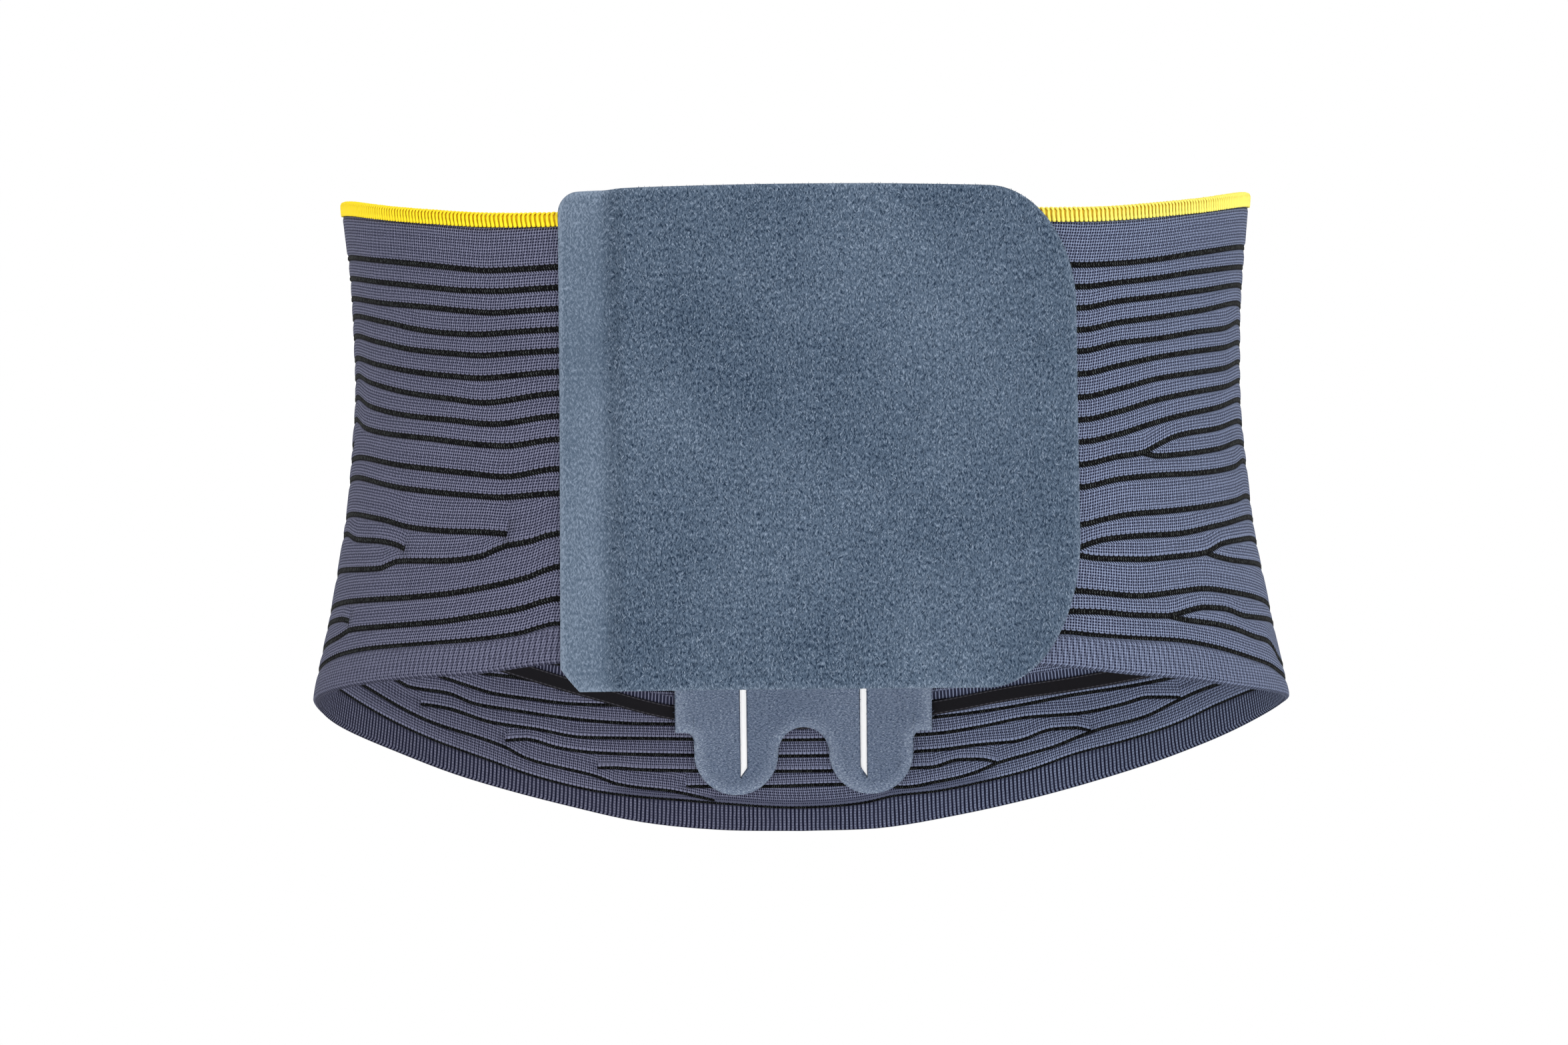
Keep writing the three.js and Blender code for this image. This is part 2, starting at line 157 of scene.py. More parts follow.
class Dyes(bpy.types.PropertyGroup):
    """Colours of the yarns, velours and plastics."""

    knit_lilac: dye("Knit lilac", "Loops of the knit on the left", 124, 126, 150)
    # Painted lighter and bluer than the lilac, standing in for light from the right
    knit_lit_blue: dye("Knit blue", "Loops of the knit on the right", 134, 145, 174)
    knit_hole: dye("Knit hole", "Navy yarn behind the loops", 20, 22, 44)
    elastic: dye("Elastic", "Black elastic thread", 6, 6, 9)
    # Painted highlights: pale glints on the elastic thread where it faces out
    elastic_glint: dye("Elastic speck", "Pale specks on the elastic thread", 96, 102, 100)
    edging: dye("Edging", "Yellow overlock yarn", 253, 224, 40)
    edging_pale: dye("Edging pale", "The same yarn where it catches the light on the right", 255, 240, 112)
    # Painted shade: the yarn where it dives between two stitches, and the band under them
    edging_shadowed: dye("Edging shade", "Yellow yarn between two stitches", 200, 156, 24)
    velour_dark: dye("Velour dark", "Shaded fibres of the closure", 31, 45, 63)
    velour_mid: dye("Velour", "Fibres of the closure", 77, 92, 110)
    velour_light: dye("Velour light", "Lit fibres of the closure", 130, 144, 162)
    pad_dark: dye("Back velour dark", "Shaded fibres of the back piece", 66, 79, 101)
    pad_mid: dye("Back velour", "Fibres of the back piece", 106, 119, 141)
    pad_light: dye("Back velour light", "Lit fibres of the back piece", 156, 168, 186)
    stay: dye("Stay", "White plastic of the stays", 254, 254, 254)
    tape: dye("Tape", "Black woven tape", 22, 21, 25)
    tape_edge: dye("Tape edge", "Stitches along the tape", 74, 73, 80)


class BeltSettings(bpy.types.PropertyGroup):
    """All sizes and colours of the belt."""

    wall: PointerProperty(type=WallSizes)
    panel: PointerProperty(type=PanelSizes)
    back: PointerProperty(type=BackSizes)
    dyes: PointerProperty(type=Dyes)
    seed: IntProperty(name="Seed", description="Start of every random draw", default=7)


def settings():
    """The belt's settings on the scene."""
    return bpy.context.scene.belt_settings


# Form of the wall

# Half width and depths of the wall at each level. level is a share of the side rise above the waist and of
# the side drop below it; width, front and back are shares of the sizes at the waist.
SECTIONS = {
    "level": (-1.55, -1.00, -0.75, -0.50, -0.25, 0.00, 0.50, 1.00, 1.40),
    "width": (1.150, 1.100, 1.064, 1.031, 1.010, 1.000, 1.008, 1.030, 1.058),
    "front": (1.100, 1.064, 1.040, 1.022, 1.008, 1.000, 1.005, 1.018, 1.035),
    "back": (1.385, 1.275, 1.190, 1.100, 1.030, 1.000, 1.012, 1.050, 1.100),
}

# Height of the top edge as a share of the side rise, and depth of the bottom edge on each side as a share of
# the side drop, by degrees from the front
EDGES = {
    "angle": (0, 28, 40, 50, 60, 75, 90, 105, 120, 135, 150, 160, 170, 180),
    "top": (0.745, 0.765, 0.786, 0.828, 0.876, 0.952, 1, 1.036, 1.058, 1.075, 1.100, 1.118, 1.133, 1.139),
    "left": (0.893, 0.893, 0.920, 0.928, 0.940, 0.965, 1, 1.065, 1.144, 1.243, 1.338, 1.397, 1.427, 1.434),
    "right": (0.904, 0.914, 0.941, 0.956, 0.977, 0.995, 1.015, 1.062, 1.143, 1.235, 1.328, 1.383, 1.426,
              1.434),
}

# Depth of the middle of the tape below the waist, as a share of the side drop
TAPE_COURSE = {
    "angle": (0, 60, 90, 120, 142, 152, 164, 180),
    "left": (0.500, 0.540, 0.610, 0.748, 0.884, 0.950, 1.026, 1.062),
    "right": (0.740, 0.770, 0.812, 0.876, 0.942, 0.972, 1.022, 1.062),
}

MM = 0.001


def read(table, key, column, at):
    """Smooth reading of one column of a table between its rows."""
    keys = np.array(table[key], float)
    values = np.array(table[column], float)
    steps = np.arange(len(keys))
    before = np.maximum(steps - 1, 0)
    after = np.minimum(steps + 1, len(keys) - 1)
    slopes = (values[after] - values[before]) / (keys[after] - keys[before])
    i = np.searchsorted(keys[1:-1], at, side="left")
    span = keys[i + 1] - keys[i]
    t = (at - keys[i]) / span
    rise = values[i + 1] - values[i]
    bend_start = slopes[i] * span - rise
    bend_end = rise - slopes[i + 1] * span
    return values[i] + rise * t + t * (1 - t) * (bend_start * (1 - t) + bend_end * t)


def radii(height, to_front):
    """Half width and depth of the wall's outside at a height."""
    wall = settings().wall
    height = np.asarray(height, float)
    level = np.where(height < 0, height / wall.side_drop, height / wall.side_rise)
    front = wall.front_depth * read(SECTIONS, "level", "front", level)
    back = wall.back_depth * read(SECTIONS, "level", "back", level)
    half = wall.waist_width / 2 * read(SECTIONS, "level", "width", level)
    return half, np.where(to_front, front, back)


def wall_point(place, height, outward):
    """Points on the wall by degrees round the belt and height, a given way outside it."""
    place, height, outward = np.broadcast_arrays(np.radians(place), height, outward)
    half, depth = radii(height, np.cos(place) > 0)
    x = -(half + outward) * np.sin(place)
    y = -(depth + outward) * np.cos(place)
    return np.stack([x, y, height], axis=-1)


def wall_across(x, height, outward, to_front):
    """Points on the front or the back of the wall by their sideways place."""
    x, height, outward = np.broadcast_arrays(x, height, outward)
    half, depth = radii(height, to_front)
    y = (depth + outward) * np.sqrt(np.maximum(1 - (x / (half + outward)) ** 2, 0))
    return np.stack([x, -y if to_front else y, height], axis=-1)


def from_front(place):
    """Degrees from the front, the shorter way round."""
    turned = np.asarray(place, float) % 360
    return np.minimum(turned, 360 - turned)


def by_side(table, place):
    """Reading of a table with a left and a right column."""
    turned = np.asarray(place, float) % 360
    away = from_front(place)
    return np.where(turned < 180, read(table, "angle", "left", away), read(table, "angle", "right", away))


def top_edge(place):
    """Height of the belt's top edge."""
    return settings().wall.side_rise * read(EDGES, "angle", "top", from_front(place))


def bottom_edge(place):
    """Height of the wall's bottom edge."""
    return -settings().wall.side_drop * by_side(EDGES, place)


def knit_top(place):
    """Height of the knit's own top, under the overlocked edge."""
    wall = settings().wall
    return top_edge(place) - wall.edging_height - wall.gap


def tape_middle(place):
    """Height of the middle of the tape."""
    return -settings().wall.side_drop * by_side(TAPE_COURSE, place)


def along(place):
    """Way round the belt at its hips, from the middle of the front, in metres."""
    hips = -settings().wall.side_drop / 2
    stops = np.arange(0, 360.5, 0.5)
    points = wall_point(stops, hips, 0.0)
    steps = np.linalg.norm(np.diff(points, axis=0), axis=1)
    return np.interp(place, stops, np.concatenate([[0], np.cumsum(steps)]))


def wales(place):
    """Columns of stitches up to a place. They are wider in front, where the knit is stretched more."""
    wall = settings().wall
    stops = np.arange(0, 360.5, 0.5)
    middles = (stops[:-1] + stops[1:]) / 2
    pitch = wall.wale_pitch + wall.wale_stretch * np.cos(np.radians(middles))
    passed = np.cumsum(np.diff(along(stops)) / pitch)
    return np.interp(place, stops, np.concatenate([[0], passed]))


# Camera, which stands where the photograph was taken from

IMAGE_WIDTH = 2352
IMAGE_HEIGHT = 1568
SENSOR_WIDTH = 36.0
FOCAL_PIXELS = 6611.6
CAMERA_DISTANCE = 1.6
CAMERA_PITCH = math.radians(-3)
CAMERA_ROLL = math.radians(-0.6)
WAIST_PIXEL = (1196, 580)


def camera_axes():
    """The camera's place and its forward, right and up directions."""
    forward = np.array([0, math.cos(CAMERA_PITCH), -math.sin(CAMERA_PITCH)])
    level = np.array([1.0, 0, 0])
    upright = np.cross(level, forward)
    right = level * math.cos(CAMERA_ROLL) + upright * math.sin(CAMERA_ROLL)
    up = -level * math.sin(CAMERA_ROLL) + upright * math.cos(CAMERA_ROLL)
    aside = (WAIST_PIXEL[0] - IMAGE_WIDTH / 2) / FOCAL_PIXELS
    above = (IMAGE_HEIGHT / 2 - WAIST_PIXEL[1]) / FOCAL_PIXELS
    place = -(forward + right * aside + up * above) * CAMERA_DISTANCE
    return place, forward, right, up


def on_wall(pixels, far, outward):
    """Degrees round the belt and heights of the wall's points that show at pixels of the photograph."""
    place, forward, right, up = camera_axes()
    pixels = np.array(pixels, float)
    aside = (pixels[:, 0] - IMAGE_WIDTH / 2) / FOCAL_PIXELS
    above = (IMAGE_HEIGHT / 2 - pixels[:, 1]) / FOCAL_PIXELS
    rays = forward + aside[:, None] * right + above[:, None] * up
    height = np.zeros(len(pixels))
    for _ in range(30):
        half, depth = radii(height, not far)
        half = half + outward
        depth = depth + outward
        square = (rays[:, 0] / half) ** 2 + (rays[:, 1] / depth) ** 2
        slant = place[0] * rays[:, 0] / half ** 2 + place[1] * rays[:, 1] / depth ** 2
        rest = (place[0] / half) ** 2 + (place[1] / depth) ** 2 - 1
        root = np.sqrt(np.maximum(slant ** 2 - square * rest, 0))
        reach = (-slant + (root if far else -root)) / square
        height = np.clip(place[2] + reach * rays[:, 2], -0.175, 0.095)
    x = place[0] + reach * rays[:, 0]
    y = place[1] + reach * rays[:, 1]
    return np.degrees(np.arctan2(-x / half, -y / depth)) % 360, height


# Chart of the elastic threads, read as pixels of the photograph: left and right are seen on the
# outside, inside on the inner face of the back. Where a thread is hidden its course is guessed: middle is its
# height in millimetres at the middle of the back, and knots are degrees round the belt with heights in
# millimetres. A thread with to_tip ends at its last point and doesn't run on to the wall's right end.

CHART = {
    "a1": {
        "left": ((524, 387), (572, 391), (645, 398), (704, 404), (733, 406), (792, 403), (836, 400)),
        "right": ((1608, 397), (1676, 395), (1735, 389), (1793, 380), (1864, 371)),
        "middle": 55.0,
    },
    "a2": {
        "left": ((526, 418), (587, 425), (645, 431), (704, 436), (763, 436), (836, 431)),
        "right": ((1616, 430), (1676, 424), (1735, 417), (1793, 408), (1862, 401)),
        "middle": 48.4,
    },
    "a3": {
        "left": ((528, 449), (587, 456), (645, 461), (704, 467), (748, 469), (836, 463)),
        "right": ((1616, 462), (1676, 452), (1735, 445), (1793, 437), (1860, 429)),
        "middle": 35.3,
    },
    "a4": {
        "left": ((531, 476), (587, 485), (616, 492), (675, 500), (733, 501), (836, 494)),
        "right": ((1616, 495), (1676, 484), (1735, 476), (1793, 467), (1858, 456)),
        "middle": 22.2,
    },
    "a5": {
        "left": ((533, 505), (572, 514), (616, 524), (675, 530), (733, 533), (836, 526)),
        "right": ((1616, 527), (1676, 515), (1735, 508), (1793, 498), (1837, 492), (1857, 483)),
        "middle": 15.6,
    },
    "a6": {
        "left": ((534, 538), (572, 548), (616, 557), (675, 564), (733, 567), (836, 558)),
        "right": ((1617, 561), (1676, 549), (1735, 536), (1793, 527), (1837, 521), (1857, 514)),
        "middle": 2.5,
    },
    "a7": {
        "left": ((536, 564), (557, 574), (616, 590), (675, 598), (733, 604), (836, 590)),
        "right": ((1617, 596), (1676, 584), (1735, 568), (1793, 559), (1837, 552), (1857, 543)),
        "middle": -10.6,
    },
    "a8": {
        "left": ((536, 596), (557, 610), (616, 624), (675, 630), (748, 636), (836, 624)),
        "right": ((1617, 630), (1676, 618), (1735, 600), (1793, 588), (1837, 580), (1858, 571)),
        "middle": -17.2,
    },
    "a9": {
        "left": ((535, 629), (548, 642), (572, 649), (645, 658), (733, 668), (763, 669), (836, 659)),
        "right": ((1617, 663), (1676, 652), (1720, 638), (1764, 625), (1823, 612), (1858, 600)),
        "middle": -30.3,
    },
    "b1": {
        "left": ((533, 663),),
        "right": ((1617, 697), (1676, 685), (1714, 679), (1735, 668), (1764, 654), (1823, 643), (1859, 632)),
        "middle": -43.4,
    },
    "b2": {
        "left": ((534, 687), (616, 700), (704, 710), (763, 715), (836, 703)),
        "right": ((1714, 679), (1735, 684), (1764, 682), (1823, 674), (1861, 663)),
        "middle": -50.0,
        "to_tip": True,
    },
    "b3": {
        "left": ((531, 717), (616, 734), (704, 743), (757, 746), (836, 740)),
        "right": ((1617, 731), (1676, 719), (1735, 713), (1793, 710), (1852, 700), (1865, 691)),
        "middle": -63.1,
    },
    "b4": {
        "left": ((526, 772), (572, 779), (616, 791), (675, 797), (719, 798), (761, 801)),
        "right": ((1617, 788), (1647, 781), (1691, 772), (1749, 767), (1793, 762), (1852, 751), (1870, 744)),
        "middle": -76.2,
    },
    "b5": {
        "left": ((521, 801), (534, 809), (572, 812), (595, 817), (609, 824)),
        "right": ((1616, 822), (1632, 816), (1652, 810), (1705, 804), (1764, 801), (1823, 789), (1875, 776)),
        "middle": -82.8,
    },
    "b6": {
        "knots": ((122, -80.0), (150, -91.0)),
        "right": ((1616, 833), (1647, 838), (1705, 839), (1764, 835), (1808, 829), (1831, 816), (1852, 811),
                  (1878, 808)),
        "middle": -95.9,
    },
    "c1": {
        "left": ((513, 856), (569, 853), (598, 842), (675, 841), (719, 835), (757, 819), (792, 813),
                 (836, 800)),
        "inside": ((728, 1011), (772, 1016), (838, 1026)),
        "right": ((1808, 829), (1828, 836), (1852, 841), (1887, 846)),
        "middle": -109.0,
        "to_tip": True,
    },
    "c2": {
        "left": ((504, 908), (528, 902), (587, 898), (660, 892), (733, 880), (792, 866), (836, 850)),
        "inside": ((669, 1018), (705, 1030), (738, 1040), (805, 1050), (854, 1056), (960, 1059)),
        "right": ((1611, 886), (1647, 889), (1705, 894), (1764, 888), (1808, 883), (1852, 889), (1897, 902)),
        "middle": -115.5,
    },
    "c3": {
        "left": ((499, 933), (513, 929), (525, 932)),
        "inside": ((596, 1021), (612, 1030), (672, 1040), (712, 1056), (772, 1066), (838, 1076), (904, 1083),
                   (960, 1086), (1400, 1076), (1507, 1062), (1614, 1042), (1686, 1031), (1757, 1017)),
        "right": ((1606, 917), (1647, 918), (1705, 923), (1752, 924), (1779, 917), (1808, 911), (1837, 913),
                  (1867, 924), (1905, 930)),
        "middle": -121.7,
    },
    "d1": {
        "inside": ((631, 1056), (672, 1063), (738, 1084), (805, 1094), (871, 1106), (960, 1108), (1205, 1110),
                   (1400, 1101), (1471, 1090), (1543, 1076), (1614, 1071), (1686, 1056), (1721, 1046),
                   (1771, 1046)),
    },
    "d2": {
        "inside": ((758, 1111), (788, 1109), (838, 1122), (888, 1129), (960, 1132), (1205, 1134),
                   (1400, 1126), (1471, 1117), (1525, 1112), (1579, 1094), (1614, 1092), (1636, 1096)),
    },
    "d3": {
        "inside": ((896, 1152), (921, 1152), (960, 1155), (1205, 1157), (1400, 1151), (1436, 1140),
                   (1471, 1139), (1496, 1144)),
    },
    "d4": {
        "inside": ((1029, 1180), (1151, 1180), (1257, 1177), (1360, 1181), (1400, 1174), (1436, 1167),
                   (1471, 1156), (1493, 1146), (1543, 1131), (1579, 1121), (1629, 1101), (1650, 1094),
                   (1721, 1074), (1757, 1056), (1793, 1039), (1829, 1026)),
        "right": ((1752, 924), (1779, 930), (1823, 936), (1852, 943), (1881, 955), (1900, 961), (1911, 973),
                  (1916, 984)),
        "to_tip": True,
    },
    "d5": {
        "left": ((490, 968), (510, 955), (525, 945), (587, 939), (660, 933), (719, 924), (777, 914),
                 (836, 898)),
        "inside": ((544, 1028), (646, 1083), (758, 1121), (785, 1136), (898, 1166), (924, 1176), (960, 1182),
                   (1001, 1186), (1072, 1201)),
    },
    "hem": {
        "left": ((481, 1002), (519, 980), (557, 973), (631, 967), (704, 961), (777, 951), (836, 936)),
        "inside": ((511, 1036), (672, 1119), (728, 1139), (805, 1166), (904, 1189), (960, 1196), (1024, 1201),
                   (1072, 1205), (1199, 1212), (1247, 1210), (1295, 1205), (1343, 1194), (1400, 1188),
                   (1471, 1174), (1543, 1156), (1614, 1131), (1686, 1112), (1757, 1089), (1829, 1056),
                   (1875, 1037)),
        "right": ((1591, 949), (1647, 954), (1705, 958), (1764, 961), (1823, 971), (1852, 979), (1881, 989),
                  (1905, 998), (1921, 1009)),
    },
}

# Short threads that run half way between two others, by degrees round the belt. Hidden ends are guessed.
SHORT_THREADS = (
    ("a2", "a3", 112, 246),
    ("a3", "a4", 126, 236),
    ("a5", "a6", 104, 238),
    ("a6", "a7", 122, 254),
    ("a8", "a9", 108, 240),
    ("a9", "b1", 128, 256),
    ("b2", "b3", 116, 234),
    ("b3", "b4", 97, 262),
    ("b5", "b6", 134, 229),
    ("b6", "c1", 128, 243),
    ("c1", "c2", 238, 266),
)
PLACE_STEP = 0.5
REACHES_LEFT_END = 33
REACHES_RIGHT_END = 315


def smooth_through(x, y, at):
    """Monotone smooth curve through points, without overshoot between them."""
    steps = np.diff(x)
    slopes = np.diff(y) / steps
    tangents = np.zeros(len(x))
    tangents[0] = slopes[0]
    tangents[-1] = slopes[-1]
    same_way = slopes[:-1] * slopes[1:] > 0
    first = 2 * steps[1:] + steps[:-1]
    second = steps[1:] + 2 * steps[:-1]
    with np.errstate(divide="ignore", invalid="ignore"):
        joined = (first + second) / (first / slopes[:-1] + second / slopes[1:])
    tangents[1:-1] = np.where(same_way, joined, 0)
    i = np.clip(np.searchsorted(x, at, side="right") - 1, 0, len(x) - 2)
    t = (at - x[i]) / steps[i]
    rise = y[i + 1] - y[i]
    bend_start = tangents[i] * steps[i] - rise
    bend_end = rise - tangents[i + 1] * steps[i]
    return y[i] + rise * t + t * (1 - t) * (bend_start * (1 - t) + bend_end * t)


def stops_between(start, end):
    """Places from one to the other, PLACE_STEP apart."""
    inner = np.arange(math.ceil((start + 0.1) / PLACE_STEP) * PLACE_STEP, end - 0.1, PLACE_STEP)
    return np.concatenate([[start], inner, [end]])


def charted_thread(row):
    """Places and heights of one row of the chart."""
    wall = settings().wall
    knots = [(place, height * MM) for place, height in row.get("knots", ())]
    for key, far, outward in (("left", False, 0.0), ("right", False, 0.0), ("inside", True, -wall.thickness)):
        if key in row:
            knots.extend(zip(*on_wall(row[key], far, outward)))
    if "middle" in row:
        knots.append((180.0, row["middle"] * MM))
    knots.sort()
    places = [knots[0][0]]
    heights = [knots[0][1]]
    for place, height in knots[1:]:
        if place - places[-1] > PLACE_STEP:
            places.append(place)
            heights.append(height)
    if places[0] < REACHES_LEFT_END:
        places.insert(0, wall.left_end)
        heights.insert(0, heights[0])
    if places[-1] > REACHES_RIGHT_END and not row.get("to_tip"):
        places.append(wall.right_end)
        heights.append(heights[-1])
    stops = stops_between(places[0], places[-1])
    return stops, smooth_through(np.array(places), np.array(heights), stops)


# Charted threads from the bottom up
GUIDES_UP = ("hem", "d5", "d4", "d3", "d2", "d1", "c3", "c2", "c1", "b6", "b5", "b4", "b3", "b2", "b1",
             "a9", "a8", "a7", "a6", "a5", "a4", "a3", "a2", "a1")
EDGE_ROWS = 9


def elastic_threads():
    """The places and heights of every thread by its name, from the bottom up, then of the short ones."""
    threads = {name: charted_thread(CHART[name]) for name in GUIDES_UP}
    for upper, lower, start, end in SHORT_THREADS:
        stops = stops_between(start, end)
        halfway = (np.interp(stops, *threads[upper]) + np.interp(stops, *threads[lower])) / 2
        threads[f"{upper} to {lower}"] = (stops, halfway)
    return threads


def inner_tips(stops):
    """Places where a thread begins or ends inside the wall, each with its index and the way into it."""
    wall = settings().wall
    tips = ((stops[0], 0, 1), (stops[-1], -1, -1))
    return [tip for tip in tips if wall.left_end + 2 < tip[0] < wall.right_end - 2]


def row_shifts(threads):
    """How far the rows over each thread are moved up, so that they meet the rows beside its end."""
    shifts = {}
    for name, (stops, course) in threads.items():
        shifts[name] = 0.0
        for tip, index, _ in inner_tips(stops):
            way = course[index] - float(bottom_edge(tip))
            moved = 0.0
            for other, (other_stops, other_course) in threads.items():
                if other in shifts and other != name and other_stops[0] < tip < other_stops[-1]:
                    drop = course[index] - np.interp(tip, other_stops, other_course)
                    if 0 < drop < way:
                        way = drop
                        moved = shifts[other]
            shifts[name] = (way + moved) % settings().wall.course_pitch
    return shifts


def nearest_threads(places, heights, threads, floor):
    """How far each point lies above the thread under it and below the thread over it, and its row's level."""
    above = heights - floor[:, None] + 0 * heights
    rows = above.copy()
    under_none = 9.0
    below = np.full(heights.shape, under_none)
    shifts = row_shifts(threads)
    for name, (stops, course) in threads.items():
        active = (places >= stops[0]) & (places <= stops[-1])
        way = heights[active] - np.interp(places[active], stops, course)[:, None]
        closer = (way >= 0) & (way < above[active])
        rows[active] = np.where(closer, way + shifts[name], rows[active])
        above[active] = np.where(closer, way, above[active])
        below[active] = np.minimum(below[active], np.where(way < 0, -way, np.inf))
    return above, below, rows


# Rows of the wall's mesh between two charted threads, as ways off the lower or the upper one, so that the
# mesh follows every thread. A band that a short thread halves has the same rows again round its middle.
NEAR_THREAD = (0.0, 0.0005, 0.0011)

# Degrees over which the mesh's rows leave the level of a thread that has ended
TIP_FADE = 5.0


def row_heights(places, threads, floor, top):
    """Heights of the mesh's rows in each column, from the bottom edge up."""
    order = GUIDES_UP
    guides = [floor]
    active = [np.ones(len(places), bool)]
    for name in order:
        stops, course = threads[name]
        guides.append(np.interp(places, stops, course))
        active.append((places >= stops[0]) & (places <= stops[-1]))
    guides.append(top)
    active.append(np.ones(len(places), bool))
    guides = np.array(guides)
    active = np.array(active)
    ranks = np.arange(len(guides))
    eased = ranks[:, None] + 0.0 * guides
    for rank, name in enumerate(order, start=1):
        stops, course = threads[name]
        for tip, index, inward in inner_tips(stops):
            column = np.argmin(np.abs(places - tip) + np.where(active[rank], 360, 0))
            shown = active[:, column]
            level = np.interp(course[index], guides[shown, column], ranks[shown])
            beyond = (places - tip) * inward < 0
            eased[rank] += np.exp(-((places - tip) / TIP_FADE) ** 2) * beyond * (level - rank)
    for column in range(len(places)):
        shown = active[:, column]
        guides[:, column] = np.interp(eased[:, column], ranks[shown], guides[shown, column])
    guides = np.maximum.accumulate(guides + ranks[:, None] * 1e-5)
    halved = {pair[:2] for pair in SHORT_THREADS}
    rows = []
    for i in range(len(guides) - 1):
        low = guides[i]
        high = guides[i + 1]
        tall = high - low
        names = (order[i] if i < len(order) else "", order[i - 1] if i > 0 else "")
        if i == 0 or i == len(guides) - 2:
            rows.extend(low + tall * part for part in np.linspace(0, 1, EDGE_ROWS, endpoint=False))
        elif names in halved:
            rows.extend(band_rows(low, tall / 2))
            rows.extend(band_rows(low + tall / 2, tall / 2))
        else:
            rows.extend(band_rows(low, tall))
    rows.append(guides[-1])
    return np.array(rows).T


def band_rows(low, tall):
    """Rows from a thread up to just under the next one."""
    near = [low + np.minimum(way, tall * (0.12 + 140 * way)) for way in NEAR_THREAD[1:]]
    far = [low + tall - np.minimum(way, tall * (0.12 + 140 * way)) for way in reversed(NEAR_THREAD[1:])]
    return [low, *near, low + tall / 2, *far]


# Meshes

def mesh_object(name, points, faces, readings=None):
    """A smooth mesh object from arrays. readings are named numbers kept at each point for its finish."""
    mesh = bpy.data.meshes.new(name)
    blocks = [np.asarray(block, np.int32) for block in faces if len(block)]
    corners = np.concatenate([block.ravel() for block in blocks])
    sides = np.concatenate([np.full(len(block), block.shape[1], np.int32) for block in blocks])
    mesh.vertices.add(len(points))
    mesh.vertices.foreach_set("co", np.asarray(points, np.float32).ravel())
    mesh.loops.add(len(corners))
    mesh.loops.foreach_set("vertex_index", corners)
    mesh.polygons.add(len(sides))
    mesh.polygons.foreach_set("loop_start", np.concatenate([[0], np.cumsum(sides)[:-1]]).astype(np.int32))
    mesh.update(calc_edges=True)
    for key, values in (readings or {}).items():
        layer = mesh.attributes.new(key, "FLOAT", "POINT")
        layer.data.foreach_set("value", np.asarray(values, np.float32).ravel())
    mesh.polygons.foreach_set("use_smooth", np.ones(len(sides), bool))
    piece = bpy.data.objects.new(name, mesh)
    bpy.context.scene.collection.objects.link(piece)
    return piece


def skin_faces(rings, sides):
    """Four-sided faces over closed rings of points, one ring after the other."""
    i, j = np.meshgrid(np.arange(rings - 1), np.arange(sides), indexing="ij")
    here = i.ravel() * sides
    there = here + sides
    j = j.ravel()
    next_j = (j + 1) % sides
    return np.stack([here + j, there + j, there + next_j, here + next_j], axis=1)


def shell_faces(columns, rows):
    """Faces of a closed shell with flat ends, whose rings run up one face and down the other."""
    ring = 2 * rows
    skin = skin_faces(columns, ring)
    j = np.arange(rows - 1)
    start = np.stack([j, j + 1, ring - 2 - j, ring - 1 - j], axis=1)
    end = (columns - 1) * ring + start[:, ::-1]
    return [skin, start, end]


def ring_faces(rings, sides):
    """Faces over rings of points in a row, with a flat face at each end."""
    skin = skin_faces(rings, sides)
    start = np.arange(sides)[None, :]
    end = (rings - 1) * sides + np.arange(sides)[None, ::-1]
    return [skin, start, end]


def turned_over(faces):
    """The same faces, looking the other way."""
    return [block[:, ::-1] for block in faces]


def shell_rings(face, other):
    """Values at the points of a closed shell: up one face and down the other."""
    return np.concatenate([face, other[:, ::-1]], axis=1)


def strip(lines):
    """Points and faces of a strip, from the lines that run along it."""
    points = np.stack(lines, axis=1).reshape(-1, 3)
    return points, turned_over(ring_faces(len(lines[0]), len(lines)))


TUBE_SIDES = 6


def tube(path, across, outwards, wide, high, turned_ends=True):
    """Points and faces of a flattened tube along a path, with its ends drawn in."""
    sides = TUBE_SIDES
    turns = np.arange(sides) * 2 * math.pi / sides
    ease = np.ones(len(path))
    if turned_ends:
        ease[[1, -2]] = 0.8
        ease[[0, -1]] = 0.3
    wide = wide * ease
    high = high * ease
    ring = (path[:, None, :]
            + across[:, None, :] * (np.cos(turns)[None, :, None] * wide[:, None, None] / 2)
            + outwards[:, None, :] * (np.sin(turns)[None, :, None] * high[:, None, None] / 2))
    skin, start, end = ring_faces(len(path), sides)
    return ring.reshape(-1, 3), skin, np.concatenate([start, end])


def join_parts(parts):
    """One set of points and faces from several."""
    points = []
    blocks = []
    shift = 0
    for part_points, *part_faces in parts:
        points.append(part_points)
        blocks.extend(faces + shift for faces in part_faces)
        shift += len(part_points)
    return np.concatenate(points), blocks


def unit(vectors):
    """Vectors of length one."""
    return vectors / np.maximum(np.linalg.norm(vectors, axis=-1, keepdims=True), 1e-12)


def dress(piece, material, slot, *nodes):
    """Finishes a piece, puts it on the belt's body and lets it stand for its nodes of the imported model."""
    piece.data.materials.append(material)
    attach(piece, "root")
    if nodes:
        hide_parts(*nodes)
    return piece


